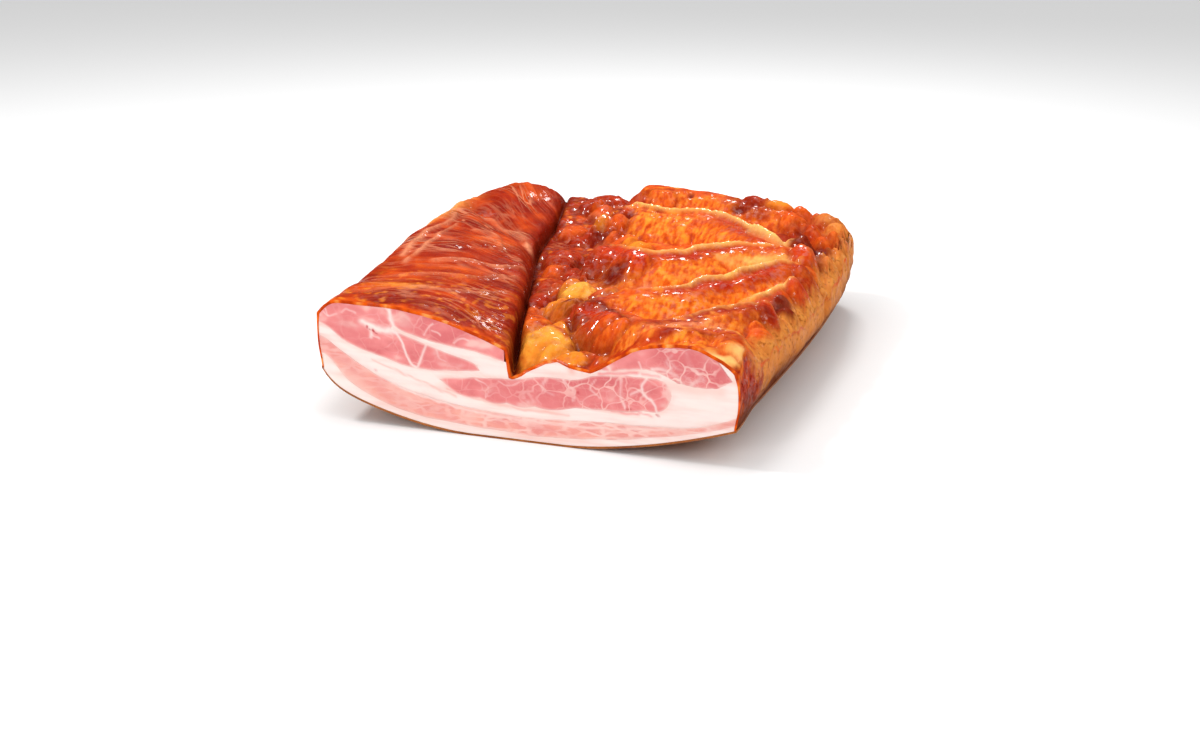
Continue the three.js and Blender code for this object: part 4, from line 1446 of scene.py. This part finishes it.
def cut_top(x):
    """Top edge of the cut under the crust."""
    return top(x, np.full(np.shape(x), FRONT))[0] - UNDER_CRUST


def cut_floor(x):
    """Bottom edge of the cut, just in the rind."""
    return bottom(x, FRONT) + 1.1


def over_all(x):
    """A line above the whole slab."""
    return np.full(np.shape(x), 100.0)


# Where the lines between the layers run
SEAMS = {
    skin_top: (-128, 146),
    streak_top: (-128, 146),
    middle_top: (-45, 104),
    middle_low: (-45, 104),
    left_low: (-127, -17),
    seam_low: (-74, -18),
    seam_top: (-74, -3),
    right_low: (58, 141),
}


def seams(*lines, step=1.5):
    """The lines between layers as points (x, z) on the cut."""
    traced = []
    for line in lines:
        low, high = SEAMS[line]
        x = np.arange(low, high + step, step)
        traced.append(np.column_stack([x, line(x)]))
    return traced


def middle_ends(z):
    return tuple(np.full(np.shape(z), end) for end in MIDDLE_ENDS)


def left_ends(z):
    return wall_reach(z)[0], np.full(np.shape(z), -1.4)


def right_ends(z):
    return np.interp(z, [51.8, 58, 100], [58, 61, 66]), np.interp(z, [54, 70.4, 100], [141, 128, 124])


def left_tool_ends(z):
    left, right = left_ends(z)
    return left - 8, right + 4


def seam_ends(z):
    return np.full(np.shape(z), -76.0), np.full(np.shape(z), 8.0)


def seam_tool(over):
    """The wedge of fat that parts the left lean in two."""
    return layer_piece("seam_tool", seam_low, seam_top, seam_ends, 90, 6, over=over)


def lean_tools():
    """Shapes that the leans leave in the main fat, a little longer than the leans at both ends."""
    left = layer_piece("left_tool", left_low, over_all, left_tool_ends, 170, 56, TOOL_OVER)
    cut_away(left, seam_tool(2 * TOOL_OVER))
    middle = layer_piece("middle_tool", middle_low, middle_top, middle_ends, 200, 36, TOOL_OVER, True)
    right = layer_piece("right_tool", right_low, over_all, right_ends, 130, 80, TOOL_OVER)
    return left, middle, right


class BACON_OT_fat(BaconOperator, bpy.types.Operator):
    """Build the skin fat and the main fat, with hollows for the leans"""

    bl_idname = "bacon.fat"
    bl_label = "Fat"

    def execute(self, context):
        colours = self.kit(context)[1]
        material = cut_material("cut_fat", colours, 60.0, 5.0, 0.05)
        skin = layer_piece("skin_fat", cut_floor, skin_top, wall_reach, 240, 12)
        paint_cut(skin, colours, "fat", [], lambda x: 0.15, seams(skin_top))
        dress(skin, material, "fat", "fat_skin")

        fat = layer_piece("main_fat", streak_top, cut_top, wall_reach, 260, 52)
        for tool in lean_tools():
            cut_away(fat, tool)
        paint_cut(fat, colours, "fat", FAT_STROKES, lambda x: 0.2, seams(*list(SEAMS)[1:]))
        dress(fat, material, "fat", "fat_main")
        return {"FINISHED"}


class BACON_OT_lean(BaconOperator, bpy.types.Operator):
    """Build the leans that show at the cut: the streak and three thick leans"""

    bl_idname = "bacon.lean"
    bl_label = "Lean"

    def execute(self, context):
        colours = self.kit(context)[1]
        lean = cut_material("cut_lean", colours, 80.0, 1.0, 0.06)
        pale = cut_material("cut_streak", colours, 190.0, 2.4, 0.2)

        streak = layer_piece("streak_lean", skin_top, streak_top, wall_reach, 330, 20)
        veins, edges = lambda x: 0.45 + 0.55 * smooth(-70, 10, x), seams(skin_top, streak_top)
        paint_cut(streak, colours, "streak", STREAK_STROKES, veins, edges)
        dress(streak, pale, "pale_lean", "lean_streak")

        middle = layer_piece("middle_lean", middle_low, middle_top, middle_ends, 200, 36, round_ends=True)
        edges = seams(middle_low, middle_top)
        paint_cut(middle, colours, "lean", MIDDLE_STROKES, lambda x: 0.3 + 0.45 * smooth(-10, 60, x), edges)
        dress(middle, lean, "lean", "lean_middle")

        left = layer_piece("left_lean", left_low, cut_top, left_ends, 180, 60)
        cut_away(left, seam_tool(2 * TOOL_OVER))
        edges = seams(left_low, seam_low, seam_top)
        paint_cut(left, colours, "lean", LEFT_STROKES, lambda x: 0.12 + 0.2 * bell(x + 60, 30), edges)
        dress(left, lean, "lean", "lean_left")

        right = layer_piece("right_lean", right_low, cut_top, right_ends, 130, 44)
        edges = seams(right_low) + [np.array([(128.0, 70.4), (141.0, 54.0)])]
        paint_cut(right, colours, "lean", RIGHT_STROKES, lambda x: 0.1 + 0.9 * smooth(84, 110, x), edges)
        dress(right, lean, "lean", "lean_right")
        return {"FINISHED"}


# The studio, in metres and degrees. Each light has its name, place, size and power in watts
LIGHTS = [
    ("key", (-0.9, -0.2, 1.3), 0.25, 9),
    ("front", (-0.2, -1.6, 0.7), 0.6, 8),
    ("right", (1.2, -0.4, 0.9), 0.5, 4),
    ("back", (-0.1, 0.95, 1.1), 0.35, 7),
]
LIGHTS_AIM = (0, 0, 0.04)
CAMERA_PLACE = (0.3296, -1.0167, 0.360)
CAMERA_TILT, CAMERA_TURN = 70.4, 18
LENS, SENSOR = 46.5, 36
FLOOR_SIZE = 20


def put(name, data, place):
    made = bpy.data.objects.new(name, data)
    made.location = place
    bpy.context.collection.objects.link(made)
    return made


def add_floor():
    bm = bmesh.new()
    bmesh.ops.create_grid(bm, x_segments=1, y_segments=1, size=FLOOR_SIZE)
    floor = new_piece("floor", bm)
    material = bpy.data.materials.new("pale_floor")
    material.use_nodes = True
    shader = material.node_tree.nodes["Principled BSDF"]
    shader.inputs["Base Color"].default_value = (0.9, 0.9, 0.9, 1)
    shader.inputs["Roughness"].default_value = 0.9
    floor.data.materials.append(material)


def add_sky(scene):
    """White light from above that fades towards the horizon."""
    world = bpy.data.worlds.new("studio")
    world.use_nodes = True
    nodes = Nodes(world.node_tree)
    direction = nodes.add("ShaderNodeTexCoord", {})["Generated"]
    upward = nodes.add("ShaderNodeSeparateXYZ", {0: direction})[2]
    background = world.node_tree.nodes["Background"].inputs
    background["Color"].default_value = (1, 1, 1, 1)
    nodes.feed(background["Strength"], nodes.ramp(upward, 0.25, 0.9, 0.06, 1.05))
    scene.world = world


class BACON_OT_stage(BaconOperator, bpy.types.Operator):
    """Set up the pale floor, the soft lights and the camera"""

    bl_idname = "bacon.stage"
    bl_label = "Stage"

    def execute(self, context):
        scene = context.scene
        scene.view_settings.view_transform = "Standard"
        add_floor()
        add_sky(scene)
        for name, place, size, power in LIGHTS:
            light = bpy.data.lights.new(name, "AREA")
            light.energy = power
            light.size = size
            aim = Vector(LIGHTS_AIM) - Vector(place)
            put(name, light, place).rotation_euler = aim.to_track_quat("-Z", "Y").to_euler()
        camera = put("camera", bpy.data.cameras.new("camera"), CAMERA_PLACE)
        camera.rotation_euler = (math.radians(CAMERA_TILT), 0, math.radians(CAMERA_TURN))
        camera.data.lens = LENS
        camera.data.sensor_width = SENSOR
        scene.camera = camera
        return {"FINISHED"}



STEPS = ("crust", "rind", "fat", "lean", "stage")


class BACON_PT_panel(bpy.types.Panel):
    """Lists the pieces of the slab"""

    bl_idname = "BACON_PT_panel"
    bl_label = "Smoked Bacon Slab"
    bl_space_type = "VIEW_3D"
    bl_region_type = "UI"
    bl_category = "Bacon"

    def draw(self, context):
        for step in STEPS:
            self.layout.operator(f"bacon.{step}")
        for group in (context.scene.bacon_sizes, context.scene.bacon_colours):
            for name in group.__annotations__:
                self.layout.prop(group, name)


CLASSES = (
    BaconSizes,
    BaconColours,
    BACON_OT_crust,
    BACON_OT_rind,
    BACON_OT_fat,
    BACON_OT_lean,
    BACON_OT_stage,
    BACON_PT_panel,
)


def register():
    for cls in CLASSES:
        bpy.utils.register_class(cls)
    bpy.types.Scene.bacon_sizes = bpy.props.PointerProperty(type=BaconSizes)
    bpy.types.Scene.bacon_colours = bpy.props.PointerProperty(type=BaconColours)


def unregister():
    del bpy.types.Scene.bacon_colours
    del bpy.types.Scene.bacon_sizes
    for cls in reversed(CLASSES):
        bpy.utils.unregister_class(cls)


def main():
    register()
    for step in STEPS:
        getattr(bpy.ops.bacon, step)()


if __name__ == "__main__":
    main()
